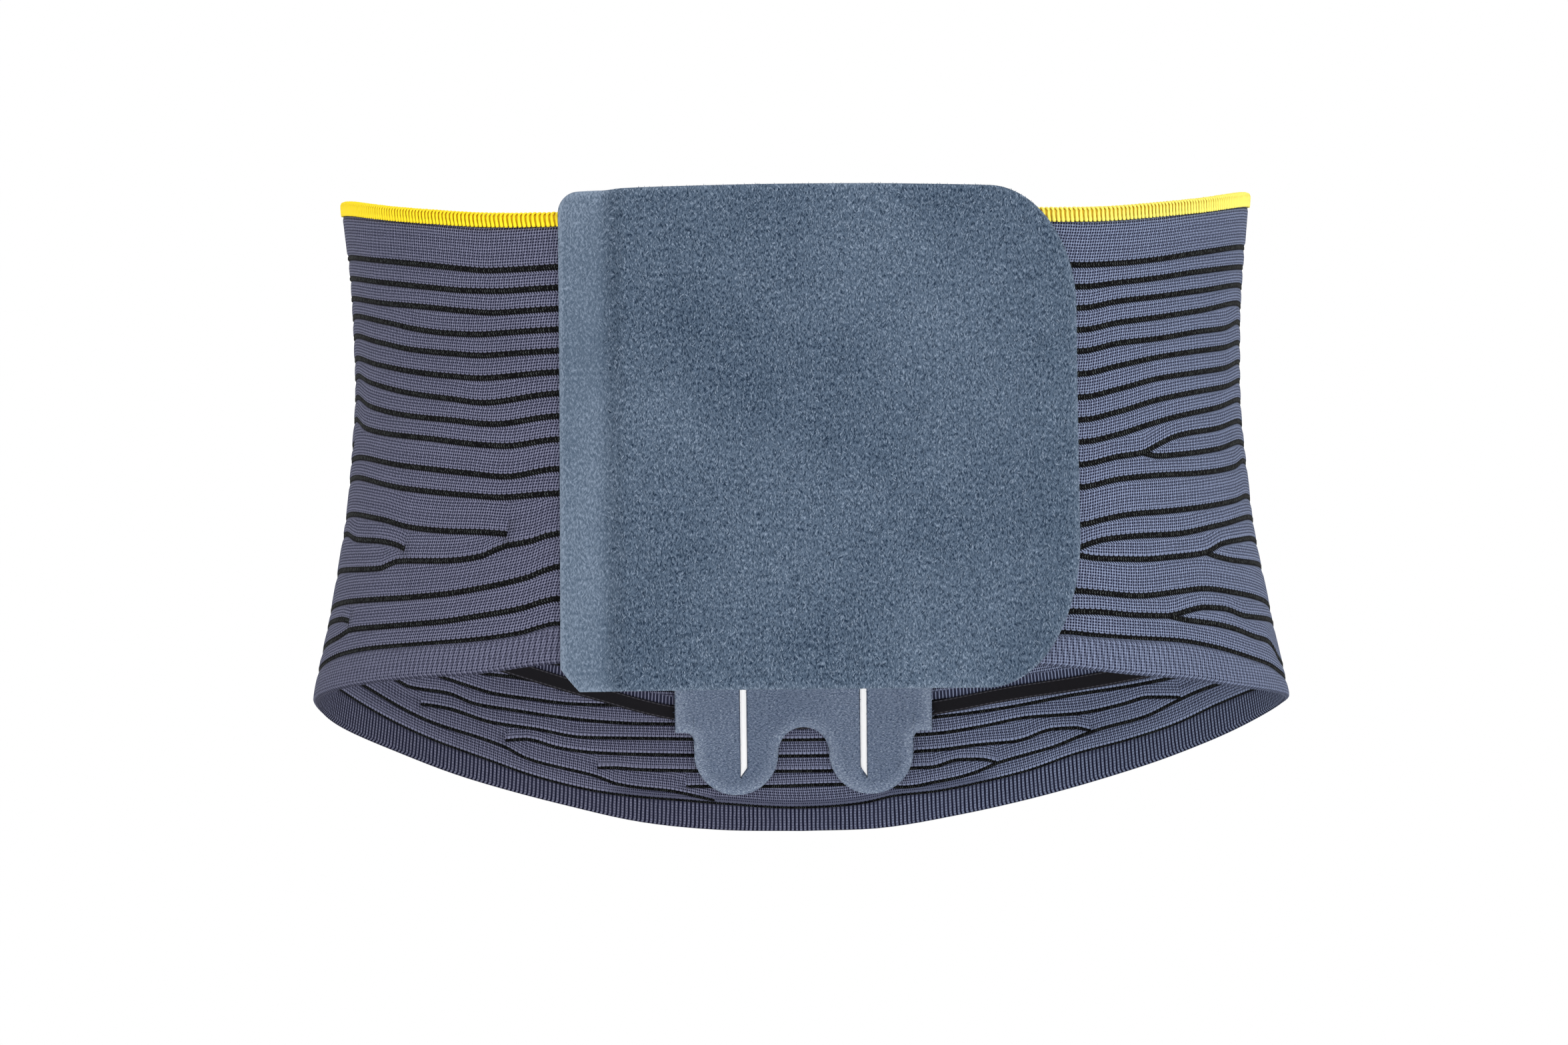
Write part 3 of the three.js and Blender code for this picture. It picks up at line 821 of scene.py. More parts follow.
def fibre_blades(roots, normals, lengthwise, sizes, tilt, draw):
    """Short flat fibres that lean over a surface. lengthwise is the way each one points along it."""
    fibre_length, fibre_width = sizes
    amount = len(roots)
    reach = (fibre_length * draw.uniform(0.55, 1.25, amount))[:, None]
    lift = np.radians(draw.uniform(*tilt, amount))[:, None]
    lie = unit(lengthwise - normals * np.sum(lengthwise * normals, axis=1, keepdims=True))
    side = np.cross(normals, lie) * (fibre_width / 2 * draw.uniform(0.7, 1.3, amount))[:, None]
    bend = unit(lie * np.cos(lift) + normals * np.sin(lift))
    middle = roots + bend * reach * 0.55
    tip = middle + unit(bend + lie * 0.7) * reach * 0.45
    points = np.stack([roots - side, roots + side, middle + side * 0.8, tip, middle - side * 0.8], axis=1)
    base = np.arange(amount)[:, None] * 5
    quads = base + np.array([[0, 1, 2, 4]])
    tips = base + np.array([[4, 2, 3]])
    return points.reshape(-1, 3), quads, tips


# Finishes

class Tone:
    """A number or colour that varies over a surface, for use in plain expressions."""

    def __init__(self, finish, socket):
        self.finish = finish
        self.socket = socket

    def math(self, operation, *values):
        return self.finish.node("ShaderNodeMath", {"operation": operation}, dict(enumerate(values)))

    def __add__(self, other):
        return self.math("ADD", self, other)

    __radd__ = __add__

    def __sub__(self, other):
        return self.math("SUBTRACT", self, other)

    def __rsub__(self, other):
        return self.math("SUBTRACT", other, self)

    def __mul__(self, other):
        return self.math("MULTIPLY", self, other)

    __rmul__ = __mul__

    def cos(self):
        """1 at every whole number, -1 half way between."""
        return self.math("COSINE", self * (2 * math.pi))

    def most(self, other):
        return self.math("MAXIMUM", self, other)

    def size(self):
        return self.math("ABSOLUTE", self)

    def part(self):
        return self.math("FRACT", self)

    def ease(self, start, end):
        """Smooth step from 0 at start to 1 at end, which may be the smaller one."""
        low, high = (start, end) if start < end else (end, start)
        values = {0: self, 1: low, 2: high, 3: 0.0, 4: 1.0}
        if start > end:
            values = {0: self, 1: low, 2: high, 3: 1.0, 4: 0.0}
        return self.finish.node("ShaderNodeMapRange", {"interpolation_type": "SMOOTHSTEP"}, values)


class Finish:
    """The node tree of one material and its surface shader."""

    def __init__(self, name, **constants):
        self.material = bpy.data.materials.new(name)
        self.material.use_nodes = True
        self.tree = self.material.node_tree
        self.shader = self.tree.nodes["Principled BSDF"]
        for socket, value in constants.items():
            self.shader.inputs[socket.replace("_", " ")].default_value = value

    def node(self, kind, settings=None, values=None, output=0):
        """Any node: its type, its settings, then the values or links of its sockets."""
        made = self.tree.nodes.new(kind)
        for key, value in (settings or {}).items():
            setattr(made, key, value)
        for key, value in (values or {}).items():
            if isinstance(value, Tone):
                self.tree.links.new(value.socket, made.inputs[key])
            else:
                made.inputs[key].default_value = value
        return Tone(self, made.outputs[output])

    def reading(self, name):
        """A number kept at the points of the mesh."""
        return self.node("ShaderNodeAttribute", {"attribute_name": name}, output=2)

    def place(self):
        """Where a point lies in the belt's own frame."""
        return self.node("ShaderNodeTexCoord", output=3)

    def axes(self):
        """The same, as three numbers."""
        split = self.node("ShaderNodeSeparateXYZ", values={0: self.place()})
        return [Tone(self, split.socket.node.outputs[i]) for i in range(3)]

    def join(self, x, y, z=0.0):
        return self.node("ShaderNodeCombineXYZ", values={0: x, 1: y, 2: z})

    def noise(self, vector, scale, detail=2.0, rough=0.5):
        """Noise from 0 to 1, mostly between 0.3 and 0.7."""
        values = {"Vector": vector, "Scale": scale, "Detail": detail, "Roughness": rough}
        return self.node("ShaderNodeTexNoise", values=values)

    def mix(self, factor, first, second, blend="MIX"):
        """A colour from two."""
        values = {0: factor, 6: as_colour(first), 7: as_colour(second)}
        return self.node("ShaderNodeMix", {"data_type": "RGBA", "blend_type": blend}, values, output=2)

    def feed(self, socket, tone):
        self.tree.links.new(tone.socket, self.shader.inputs[socket])

    def bump(self, height, distance, strength=1.0):
        """Fine relief, whose height runs from 0 to 1 over a distance in metres."""
        values = {"Strength": strength, "Distance": distance, "Height": height}
        self.feed("Normal", self.node("ShaderNodeBump", values=values))


def as_colour(value):
    """A colour socket's value: a tone as it is, a grey or a dye with its alpha."""
    if isinstance(value, Tone):
        return value
    if isinstance(value, (int, float)):
        return (value, value, value, 1)
    return (*tuple(value)[:3], 1)


def knit_finish():
    """Loops of lilac-blue yarn over navy, with a pattern of its own beside the elastic threads and inside.
    It is painted lighter towards the right and on the inside face, and a band above the hem inside is painted
    in shade.
    """
    wall = settings().wall
    dyes = settings().dyes
    knit = Finish("knit", Roughness=0.9, Specular_IOR_Level=0.12)
    wale = knit.reading("wale")
    above = knit.reading("above")
    below = knit.reading("below")
    over_hem = knit.reading("over_hem")
    over_tape = knit.reading("over_tape")
    inside = knit.reading("inside")
    course = knit.reading("rows") * (1 / wall.course_pitch)
    x, _, z = knit.axes()
    wander = knit.noise(knit.place(), 260.0, 3.0)
    wale = wale + (wander - 0.5) * 0.22
    course = course + (knit.noise(knit.place(), 330.0, 2.0) - 0.5) * 0.3

    rib = 0.5 - wale.cos() * 0.5
    twin = 0.5 - (wale * 2 + course * 0.22).cos() * 0.5
    row = 0.5 - course.cos() * 0.5
    dots = (twin * row).ease(0.07, 0.48)
    furrow = rib.ease(0.72, 1.0) * (0.54 + inside * 0.14)
    ground = dots.most(furrow).most(row.ease(0.35, 1.0) * 0.34).most(twin.ease(0.5, 1.0) * 0.40)

    welt = over_hem.ease(0.0001, -0.0002)
    lobe = above.ease(0.0016, 0.0011) * (1 - welt)
    lobe_gap = rib.ease(0.66, 0.98)
    dash = below.ease(0.0021, 0.0014) * (1 - inside)
    dashes = (0.5 - (wale * 2 + below * (0.8 / wall.course_pitch)).cos() * 0.5).ease(0.25, 0.80)
    plain = ground * (1 - lobe) + lobe_gap * lobe * 0.6
    plain = plain * (1 - dash) + dashes * dash * 0.9

    chain = 0.5 - (course + (wale.part() - 0.5).size() * 0.9).cos() * 0.5
    ribbed = rib.ease(0.34, 0.80).most(chain.ease(0.4, 1.0) * 0.5)
    # Painted shade: a darker navy band just above the hem, inside the back, where the knit bends into a
    # shadowed valley
    valley_shade = over_hem.ease(0.0034, 0.0026) * x.size().ease(0.082, 0.068) * (1 - welt) * inside * 0.6
    hem = welt * (inside * 0.75 + 0.25)
    bars = over_tape.ease(0.0024, 0.0030) * over_tape.ease(0.0066, 0.0058) * inside
    bar_gap = (0.5 - (wale * 1.15).cos() * 0.5).ease(0.06, 0.40) * 0.94
    hole = (plain * (1 - hem) + ribbed * hem).most(valley_shade)
    hole = hole * (1 - bars) + bar_gap * bars

    tooth = 0.00086 + lobe_gap * 0.00028 - inside * 0.00048
    edge_over = (above - tooth) * (1 / MM)
    edge_under = (below - 0.00092 - dashes * 0.00034 * (1 - inside) + inside * 0.00040) * (1 / MM)
    thread = (edge_over.ease(0.30, -0.15) * (1 - welt)).most(edge_under.ease(0.30, -0.15))

    # Painted light: the yarn turns lighter and bluer towards the right, and a little upwards, as if lit from
    # the right front
    lit_rightward = (x * 4.2 + 0.5 + (z * 0.6)).ease(0.1, 0.95)
    yarn = knit.mix(lit_rightward, dyes.knit_lilac, dyes.knit_lit_blue)
    fleck = knit.noise(knit.place(), 900.0, 2.0)
    cloud = knit.noise(knit.place(), 38.0, 3.0)
    # Painted light: the inside face is lighter, standing in for light that falls short inside the belt; on
    # the inside the welt is darker
    level = 0.54 + fleck * 0.58 + cloud * 0.18 + inside * (0.18 - welt * 0.30)
    lit = knit.node("ShaderNodeVectorMath", {"operation": "SCALE"}, {0: yarn, 3: level})
    cloth = knit.mix(hole, lit, dyes.knit_hole)
    cloth = knit.mix(thread, cloth, dyes.elastic)
    knit.feed("Base Color", cloth)
    knit.bump((1 - hole) * (1 - thread), 0.0004, 0.9)
    return knit.material


def elastic_finish():
    """Black covered elastic with painted highlights: pale slanting glints, one pair to a stitch."""
    dyes = settings().dyes
    elastic = Finish("elastic", Roughness=0.75, Specular_IOR_Level=0.08)
    wale = elastic.reading("wale")
    over = elastic.reading("over")
    wander = elastic.noise(elastic.place(), 500.0, 2.0)
    lying = wale * 2 + over.size() * 0.45 + wander * 0.3
    legs = (lying.part() - 0.5).size().ease(0.17, 0.05)
    spot = elastic.noise(elastic.place(), 1100.0, 2.0).ease(0.40, 0.62)
    # Painted highlights: the glints sit where the thread faces out, away from its sides
    glint = legs * spot * over.size().ease(0.95, 0.55)
    elastic.feed("Base Color", elastic.mix(glint * 0.8, dyes.elastic, dyes.elastic_glint))
    elastic.bump(0.5 - lying.cos() * 0.5, 0.00045, 0.9)
    return elastic.material


def edging_finish():
    """Bright yellow yarn, paler to the right where light is painted on, with painted shade where it dives
    between the stitches and over the band beneath them.
    """
    dyes = settings().dyes
    yarn = Finish("edging", Roughness=0.7, Specular_IOR_Level=0.15)
    depth = yarn.reading("depth")
    strand = yarn.reading("strand")
    x, _, _ = yarn.axes()
    fibre = yarn.noise(yarn.place(), 1400.0, 3.0)
    # Painted shade: darker where the depth reading is high, with random fibre tone
    shade = (depth * 0.8 + (fibre - 0.5) * 0.30).ease(0.2, 1.0)
    bright = yarn.mix(x.ease(-0.04, 0.14), dyes.edging, dyes.edging_pale)
    yarn.feed("Base Color", yarn.mix(shade, bright, dyes.edging_shadowed))
    ply = 0.5 - strand.cos() * 0.5
    yarn.bump(ply * 0.8 + fibre * 0.4, 0.00016, 0.7)
    return yarn.material


def velour_finish(name, dark, mid, light, grain, upright=True):
    """Brushed velour: short slanting flecks, upright or level, over soft clouds."""
    velour = Finish(name, Roughness=0.95, Specular_IOR_Level=0.1)
    x, _, z = velour.axes()
    rim = velour.reading("rim")
    pressed = velour.reading("pressed")
    wander = (velour.noise(velour.place(), 170.0, 2.0) - 0.5) * 0.0035
    across, lengthwise = (x + wander, z) if upright else (z + wander, x)
    leaning = velour.join(across + lengthwise * 0.30, lengthwise * 0.42)
    crossing = velour.join(across - lengthwise * 0.35, lengthwise * 0.40, 2.0)
    first = velour.noise(leaning, grain, 2.0, 0.6)
    second = velour.noise(crossing, grain * 1.15, 2.0, 0.6)
    fleck = first * 0.5 + second * 0.5
    cloud = velour.noise(velour.place(), 22.0, 3.0)
    flecks = (fleck - 0.5) * 4.2 * (1 - pressed * 0.4)
    # The rim reading paints a highlight: the colour turns lighter towards the edge
    level = flecks + (cloud - 0.5) * 0.7 + 0.5 + pressed * 0.30 + rim * 0.30
    shaded = velour.mix(level.ease(0.0, 0.55), dark, mid)
    lit = velour.mix((level - 0.55).ease(0.0, 0.75), shaded, light)
    velour.feed("Base Color", lit)
    velour.bump(fleck, 0.0007, 0.75)
    return velour.material


def nap_finish(name, dark, mid, light):
    """Single fibres, each of its own shade."""
    nap = Finish(name, Roughness=0.95, Specular_IOR_Level=0.1)
    shade = nap.reading("shade")
    body = nap.mix(shade.ease(0.0, 0.5), dark, mid)
    nap.feed("Base Color", nap.mix((shade - 0.5).ease(0.0, 0.5), body, light))
    return nap.material


def tape_finish():
    """Black woven tape with a stitched line along each edge."""
    back = settings().back
    dyes = settings().dyes
    tape = Finish("tape", Roughness=0.8, Specular_IOR_Level=0.12)
    run = tape.reading("across")
    edge = tape.reading("edge")
    weave = (run * 1400).cos() * (edge * (back.tape_width * 1100)).cos()
    stitch_line = (edge.size() - 0.83).size().ease(0.10, 0.03)
    stitch = stitch_line * (0.6 + (run * 520).cos() * 0.4)
    tape.feed("Base Color", tape.mix(stitch, dyes.tape, dyes.tape_edge))
    tape.bump(weave * 0.3 + stitch, 0.00022, 0.6)
    return tape.material


def stay_finish():
    """Smooth white plastic with faint scuffs."""
    plastic = Finish("stay", Roughness=0.38)
    scuff = plastic.noise(plastic.place(), 420.0, 3.0)
    white = settings().dyes.stay
    plastic.feed("Base Color", plastic.mix(scuff.ease(0.62, 0.8) * 0.08, white, 0.8))
    plastic.feed("Roughness", 0.34 + scuff * 0.12)
    return plastic.material


def floor_finish():
    """Pale matt floor with a trace of mottling."""
    floor = Finish("floor", Roughness=0.9)
    cloud = floor.noise(floor.place(), 3.0, 2.0)
    floor.feed("Base Color", floor.mix(cloud * 0.2, 0.86, 0.82))
    return floor.material


# Pieces of the knit

def wall_columns(threads):
    """The wall's columns, with a close pair at every place where a thread begins or ends."""
    wall = settings().wall
    places = np.linspace(wall.left_end, wall.right_end, wall.columns)
    before_tip = 0.012
    after_tip = 0.002
    pairs = []
    for stops, _ in threads.values():
        for tip, _, inward in inner_tips(stops):
            places = places[np.abs(places - tip) > 0.6]
            pairs.extend([tip - before_tip * inward, tip + after_tip * inward])
    return np.unique(np.concatenate([places, pairs]))


def knit_wall(threads):
    """The knitted wall: a closed shell drawn in at every elastic thread."""
    wall = settings().wall
    places = wall_columns(threads)
    floor = bottom_edge(places)
    top = knit_top(places)
    heights = row_heights(places, threads, floor, top)
    above, below, rows = nearest_threads(places, heights, threads, floor)
    over_hem = heights - np.interp(places, *threads["hem"])[:, None]
    over_tape = heights - tape_middle(places)[:, None]
    swell = (1 - np.exp(-above / 0.00045)) * (1 - np.exp(-below / 0.0013))
    edge = np.minimum(heights - floor[:, None], (top[:, None] - heights) + 0.0004)
    round_off = wall.thickness / 2
    turned = np.clip(1 - edge / round_off, 0, 1)
    tuck = round_off * 0.8 * (1 - np.sqrt(1 - turned ** 2))
    sway = 0.00022 * np.sin(places[:, None] * 0.21 + heights * 60) * np.sin(heights * 95 + 1)
    outer = -wall.groove + (wall.groove + wall.puff) * swell - tuck + sway
    inner = -wall.thickness - 0.00022 * swell + 0.0001 + tuck + sway
    around = places[:, None] + 0 * heights
    outer_points = wall_point(around, heights, outer)
    inner_points = wall_point(around, heights, inner)
    points = shell_rings(outer_points, inner_points).reshape(-1, 3)
    faces = turned_over(shell_faces(*heights.shape))
    fields = {
        "wale": wales(places)[:, None] + 0 * heights,
        "above": above,
        "below": below,
        "rows": rows,
        "over_hem": over_hem,
        "over_tape": over_tape,
    }
    readings = {name: shell_rings(field, field) for name, field in fields.items()}
    readings["inside"] = shell_rings(0 * heights, 0 * heights + 1)
    piece = mesh_object("knit_wall", points, faces, readings)
    girth = float(along(wall.right_end) - along(wall.left_end))
    tall = float(np.mean(top - floor))
    dress(piece, knit_finish(), "knit", "knit_body")
    return piece


# Share of the usual width and height that a thinner thread has
THIN_THREADS = {"hem": 0.62, "d5": 0.85}


def thread_tubes(name, threads, outward, share):
    """Elastic threads along one face of the wall, as one mesh, at a share of their usual size."""
    wall = settings().wall
    parts = []
    passed = []
    over_tube = []
    for thread, (stops, course) in threads.items():
        wide = wall.thread_width * share * THIN_THREADS.get(thread, 1)
        high = wall.thread_height * share * THIN_THREADS.get(thread, 1)
        run = along(stops)
        steps = max(int((run[-1] - run[0]) / wall.thread_step), 3)
        even = np.linspace(run[0], run[-1], steps)
        places = np.interp(even, run, stops)
        heights = np.interp(places, stops, course)
        path = wall_point(places, heights, outward)
        out = unit(wall_point(places, heights, outward + MM) - path)
        ahead = unit(np.gradient(path, axis=0))
        side = unit(np.cross(ahead, out))
        points, skin, ends = tube(path, side, out, wide, high)
        parts.append((points, skin, ends))
        passed.append(np.repeat(wales(places), TUBE_SIDES))
        over_tube.append(np.tile(np.cos(np.arange(TUBE_SIDES) * 2 * math.pi / TUBE_SIDES), steps))
    points, faces = join_parts(parts)
    readings = {"wale": np.concatenate(passed), "over": np.concatenate(over_tube)}
    return mesh_object(name, points, faces, readings)


def elastic_lines(threads):
    """The elastic threads, sunk into the outside and standing up like cords on the inside."""
    wall = settings().wall
    material = elastic_finish()
    outside = thread_tubes("elastic_outside", threads, -0.00025, 1.0)
    inside = thread_tubes("elastic_inside", threads, -wall.thickness - 0.0002, 0.72)
    for piece in (outside, inside):
        dress(piece, material, "knit")


def overlocked_edge():
    """The overlocked top edge: a soft band under close yellow stitches that wrap over it."""
    wall = settings().wall
    places = np.linspace(wall.left_end, wall.right_end, 300)
    proud = wall.edging_proud
    under = proud - wall.edging_thickness
    inset = 0.00035
    face = proud - inset
    back = under + inset
    low = -wall.edging_height + inset
    section = ((face, low), (face, -0.0030), (face, -0.0014), (face - 0.0004, -0.0006),
               (back + 0.0004, -0.0006), (back, -0.0014), (back, -0.0030), (back, low))
    band, faces = strip([wall_point(places, top_edge(places) + drop, offset) for offset, drop in section])
    parts = [(band, *faces)]
    # Painted shade: the band under the stitches gets the full shade colour
    depth = [np.full(len(band), 1.0)]
    strand = [np.zeros(len(band))]

    # One stitch from its front end to its rear end: offset and drop in metres, shift along the edge and width
    # of the yarn in millimetres
    loop = ((proud + 0.00015, -wall.edging_height - 0.0001, -0.30, 1.35),
            (proud + 0.00022, -0.0042, -0.22, 1.45),
            (proud + 0.00016, -0.0032, -0.06, 1.30), (proud + 0.00012, -0.0021, 0.05, 1.15),
            (proud + 0.00002, -0.0011, 0.08, 0.95), (proud - 0.0004, -0.0003, 0.04, 1.25),
            ((proud + under) / 2, 0.00005, 0.0, 1.45), (under + 0.0004, -0.0003, -0.04, 1.25),
            (under - 0.00002, -0.0011, -0.08, 1.1), (under - 0.0001, -0.0026, -0.05, 1.3),
            (under - 0.0001, -wall.edging_height, 0.10, 1.35))
    offsets, drops, shifts, widths = np.array(loop).T
    # Painted shade on a stitch's narrow parts, where it dives between its neighbours
    shading = np.interp(widths, (0.9, 1.4), (0.55, 0.0))
    run = along(np.array([wall.left_end, wall.right_end]))
    loops = int((run[1] - run[0]) / wall.loop_pitch)
    degree = (wall.right_end - wall.left_end) / (run[1] - run[0])
    draw = np.random.default_rng(settings().seed)
    for i in range(loops):
        stop = wall.left_end + (i + 0.5) * wall.loop_pitch * degree
        wobble = draw.uniform(-0.05, 0.05, 2) * MM
        place = stop + (shifts * MM + wobble[0]) * degree
        heights = top_edge(stop) + drops + wobble[1]
        path = wall_point(place, heights, offsets)
        ahead = unit(np.gradient(path, axis=0))
        level = unit(wall_point(stop + 0.1, heights, offsets) - wall_point(stop - 0.1, heights, offsets))
        out = unit(np.cross(level, ahead))
        points, skin, ends = tube(path, level, out, widths * MM, 0.00072 * np.ones(len(path)), False)
        parts.append((points, skin, ends))
        depth.append(np.repeat(shading, TUBE_SIDES))
        twist = np.tile(np.arange(TUBE_SIDES) * 2 / TUBE_SIDES, len(path))
        strand.append(twist + np.repeat(np.arange(len(path)) * 0.5, TUBE_SIDES))
    points, faces = join_parts(parts)
    readings = {"depth": np.concatenate(depth), "strand": np.concatenate(strand)}
    piece = mesh_object("overlock_edge", points, faces, readings)
    dress(piece, edging_finish(), "edging", "top_edging")


def woven_tape():
    """The black tape that dips towards the middle of the back, inside."""
    wall = settings().wall
    back = settings().back
    places = np.linspace(back.tape_left, back.tape_right, 260)
    outside = -wall.thickness - wall.gap
    inside = outside - back.tape_thickness
    half = back.tape_width / 2
    section = [(outside, -half), (outside, half)]
    section += [(inside + (0.00018 if abs(level) > 0.9 else 0), half * level)
                for level in (1.0, 0.86, 0.5, 0.0, -0.5, -0.86, -1.0)]
    middle = tape_middle(places)
    points, faces = strip([wall_point(places, middle + rise, offset) for offset, rise in section])
    readings = {
        "across": np.repeat(along(places), len(section)),
        "edge": np.tile([rise / half for _, rise in section], len(places)),
    }
    piece = mesh_object("woven_tape", points, faces, readings)
    dress(piece, tape_finish(), "tape", "back_tape")


# Pieces of velour

def drawn_in(wide, tall, away):
    """How far a round corner draws an upright edge in, at a way from its end."""
    nearness = np.clip(1 - away / tall, 0, 1)
    return wide * (1 - np.sqrt(1 - nearness ** 2))


def cut_off(wide, tall, away):
    """The same for a corner that is cut off almost straight."""
    return wide * np.clip(1 - away / tall, 0, 1) ** 1.2


def smooth_step(value, start, end):
    t = np.clip((value - start) / (end - start), 0, 1)
    return t * t * (3 - 2 * t)


# Width and height of the outer panel's corners
UPPER_LEFT = (0.007, 0.007)
LOWER_LEFT = (0.0066, 0.0083)
UPPER_RIGHT = (0.030, 0.040)
LOWER_RIGHT = (0.033, 0.052)


def closure_limits(height):
    """Left and right edge of the outer panel at a height."""
    panel = settings().panel
    half = panel.width / 2
    from_top = panel.rise - height
    from_bottom = height + panel.drop
    left = panel.off_centre - half + drawn_in(*UPPER_LEFT, from_top) + cut_off(*LOWER_LEFT, from_bottom)
    right = panel.off_centre + half - drawn_in(*UPPER_RIGHT, from_top) - drawn_in(*LOWER_RIGHT, from_bottom)
    return left, right


def sewn_seam():
    """Sideways place of the seam where the outer panel's sewn strip ends."""
    panel = settings().panel
    return panel.off_centre - panel.width / 2 + panel.sewn_strip


def pressed_flat(x):
    """1 on the sewn strip, 0 on the padded part."""
    return 1 - smooth_step(x, sewn_seam() - 0.004, sewn_seam() + 0.006)


def rim_distance(x, height, left, right, top, bottom):
    """Way to the nearest edge of a panel."""
    return np.minimum(np.minimum(x - left, right - x), np.minimum(top - height, height - bottom))


def rounded(rim):
    """Share of the thickness that a padded edge keeps near its rim."""
    inside = np.clip(rim / settings().panel.rim_rounding, 0, 1)
    return 0.45 + 0.55 * np.sqrt(1 - (1 - inside) ** 2)


def closure_standoffs(x, height):
    """How far the under and upper face of the outer panel stand off the wall, and its rim distance."""
    panel = settings().panel
    end = panel.off_centre + panel.width / 2
    seam = sewn_seam()
    left, right = closure_limits(height)
    rim = np.maximum(rim_distance(x, height, left, right, panel.rise, -panel.drop), 0)
    lifted = smooth_step(x, seam, seam + panel.lift_run)
    settled = smooth_step(x, panel.inner_right + 0.0006, end)
    under = panel.standoff + (panel.lapped_standoff - panel.standoff) * (lifted - settled * 0.6)
    thick = panel.sewn_thickness + (panel.thickness - panel.sewn_thickness) * lifted
    pucker = 0.00012 * np.sin(height * 420) * np.exp(-((x - seam) / 0.006) ** 2)
    crease = 0.00045 * np.exp(-((x - seam) / 0.0016) ** 2)
    sway = 0.00016 * (np.sin(x * 170 + height * 60) + np.sin(height * 130 - x * 70 + 2))
    over = under + (thick + sway) * rounded(rim) - crease + pucker
    return under, over, rim


def front_panel_points(limits, standoffs, top, bottom, stops, rows):
    """Points of a panel on the front of the wall, row by row, each out over it and back under it."""
    shares = (1 - np.cos(np.pi * np.linspace(0, 1, stops))) / 2 * 0.45 + np.linspace(0, 1, stops) * 0.55
    levels = (1 - np.cos(np.pi * np.linspace(0, 1, rows))) / 2
    heights = (bottom + (top - bottom) * levels)[:, None] + 0 * shares
    left, right = limits(heights)
    x = left + (right - left) * shares
    under, over, rim = standoffs(x, heights)
    upper = wall_across(x, heights, over, True)
    lower = wall_across(x, heights, under, True)
    return shell_rings(upper, lower).reshape(-1, 3), shell_rings(rim, rim), shell_rings(x, x)


def rim_highlight(rim):
    """1 at the rim, where a highlight is painted lighter, 0 inside."""
    return np.clip(1 - rim / 0.0022, 0, 1)


def closure():
    """The padded outer panel with its brushed nap."""
    panel = settings().panel
    dyes = settings().dyes
    stops = 150
    rows = 150
    points, rim, x = front_panel_points(
        closure_limits, closure_standoffs, panel.rise, -panel.drop, stops, rows)
    readings = {"rim": rim_highlight(rim), "pressed": pressed_flat(x)}
    piece = mesh_object("closure_pad", points, turned_over(shell_faces(rows, stops)), readings)
    finish = velour_finish("closure_velour", dyes.velour_dark, dyes.velour_mid, dyes.velour_light, 1700.0)
    dress(piece, finish, "closure_velour", "closure_outer")
    nap = closure_nap()
    fibres = nap_finish("closure_nap", dyes.velour_dark, dyes.velour_mid, dyes.velour_light)
    dress(nap, fibres, "closure_velour")


def closure_nap():
    """Brushed fibres all over the outer panel, which stick out at its rim."""
    panel = settings().panel
    draw = np.random.default_rng(settings().seed + 1)
    amount = panel.fibres
    half = panel.width / 2
    x = draw.uniform(panel.off_centre - half, panel.off_centre + half, amount)
    height = draw.uniform(-panel.drop, panel.rise, amount)
    left, right = closure_limits(height)
    kept = (x > left) & (x < right)
    x = x[kept]
    height = height[kept]
    _, over, rim = closure_standoffs(x, height)
    roots = wall_across(x, height, over - 0.00012, True)
    normals = unit(wall_across(x, height, over + MM, True) - roots)
    pressed = pressed_flat(x)
    finer = 1 - 0.4 * pressed
    inward = np.clip(rim / 0.003, 0, 1)
    sizes = [size * finer * (0.4 + 0.6 * inward) for size in (panel.fibre_length, panel.fibre_width)]
    return nap_mesh("closure_nap", (roots, normals), rim, draw, sizes, (3, 22), 90.0, 0.22 * pressed)


def nap_mesh(name, surface, rim, draw, sizes, tilt, lie, lighter):
    """Dark and light fibres over a surface. lie is the main way they point, in degrees from level."""
    roots, normals = surface
    amount = len(roots)
    turn = np.radians(lie + draw.normal(0, 27, amount))
    turn += math.pi * (draw.uniform(0, 1, amount) < 0.5)
    way = np.stack([np.cos(turn), 0 * turn, np.sin(turn)], axis=1)
    points, quads, tips = fibre_blades(roots, normals, way, sizes, tilt, draw)
    lit = draw.uniform(0, 1, amount) < 0.5
    shade = np.where(lit, draw.normal(0.74, 0.15, amount), draw.normal(0.24, 0.14, amount))
    # Painted highlight: fibres near the rim are drawn lighter
    shade = shade + lighter + 0.22 * np.clip(1 - rim / 0.002, 0, 1)
    return mesh_object(name, points, [quads, tips], {"shade": np.repeat(np.clip(shade, 0, 1), 5)})


def inner_panel():
    """The plain panel that the closure laps over."""
    panel = settings().panel
    dyes = settings().dyes
    top = float(top_edge(0)) - panel.inner_margin
    bottom = float(bottom_edge(0)) + panel.inner_margin

    def limits(height):
        left = panel.inner_left + drawn_in(panel.inner_corner, panel.inner_corner, top - height)
        left = left + drawn_in(panel.inner_corner, panel.inner_corner, height - bottom)
        return left, panel.inner_right + 0 * height

    def standoffs(x, height):
        left, right = limits(height)
        rim = np.maximum(rim_distance(x, height, left, right, top, bottom), 0)
        under = panel.standoff + 0 * x
        return under, under + panel.inner_thickness * rounded(rim), rim

    stops = 70
    rows = 90
    points, rim, _ = front_panel_points(limits, standoffs, top, bottom, stops, rows)
    readings = {"rim": rim_highlight(rim), "pressed": 0 * rim}
    piece = mesh_object("closure_lap", points, turned_over(shell_faces(rows, stops)), readings)
    finish = velour_finish("inner_velour", dyes.velour_dark, dyes.velour_mid, dyes.velour_light, 1800.0)
    dress(piece, finish, "inner_velour", "closure_inner")


# The back piece and its stays

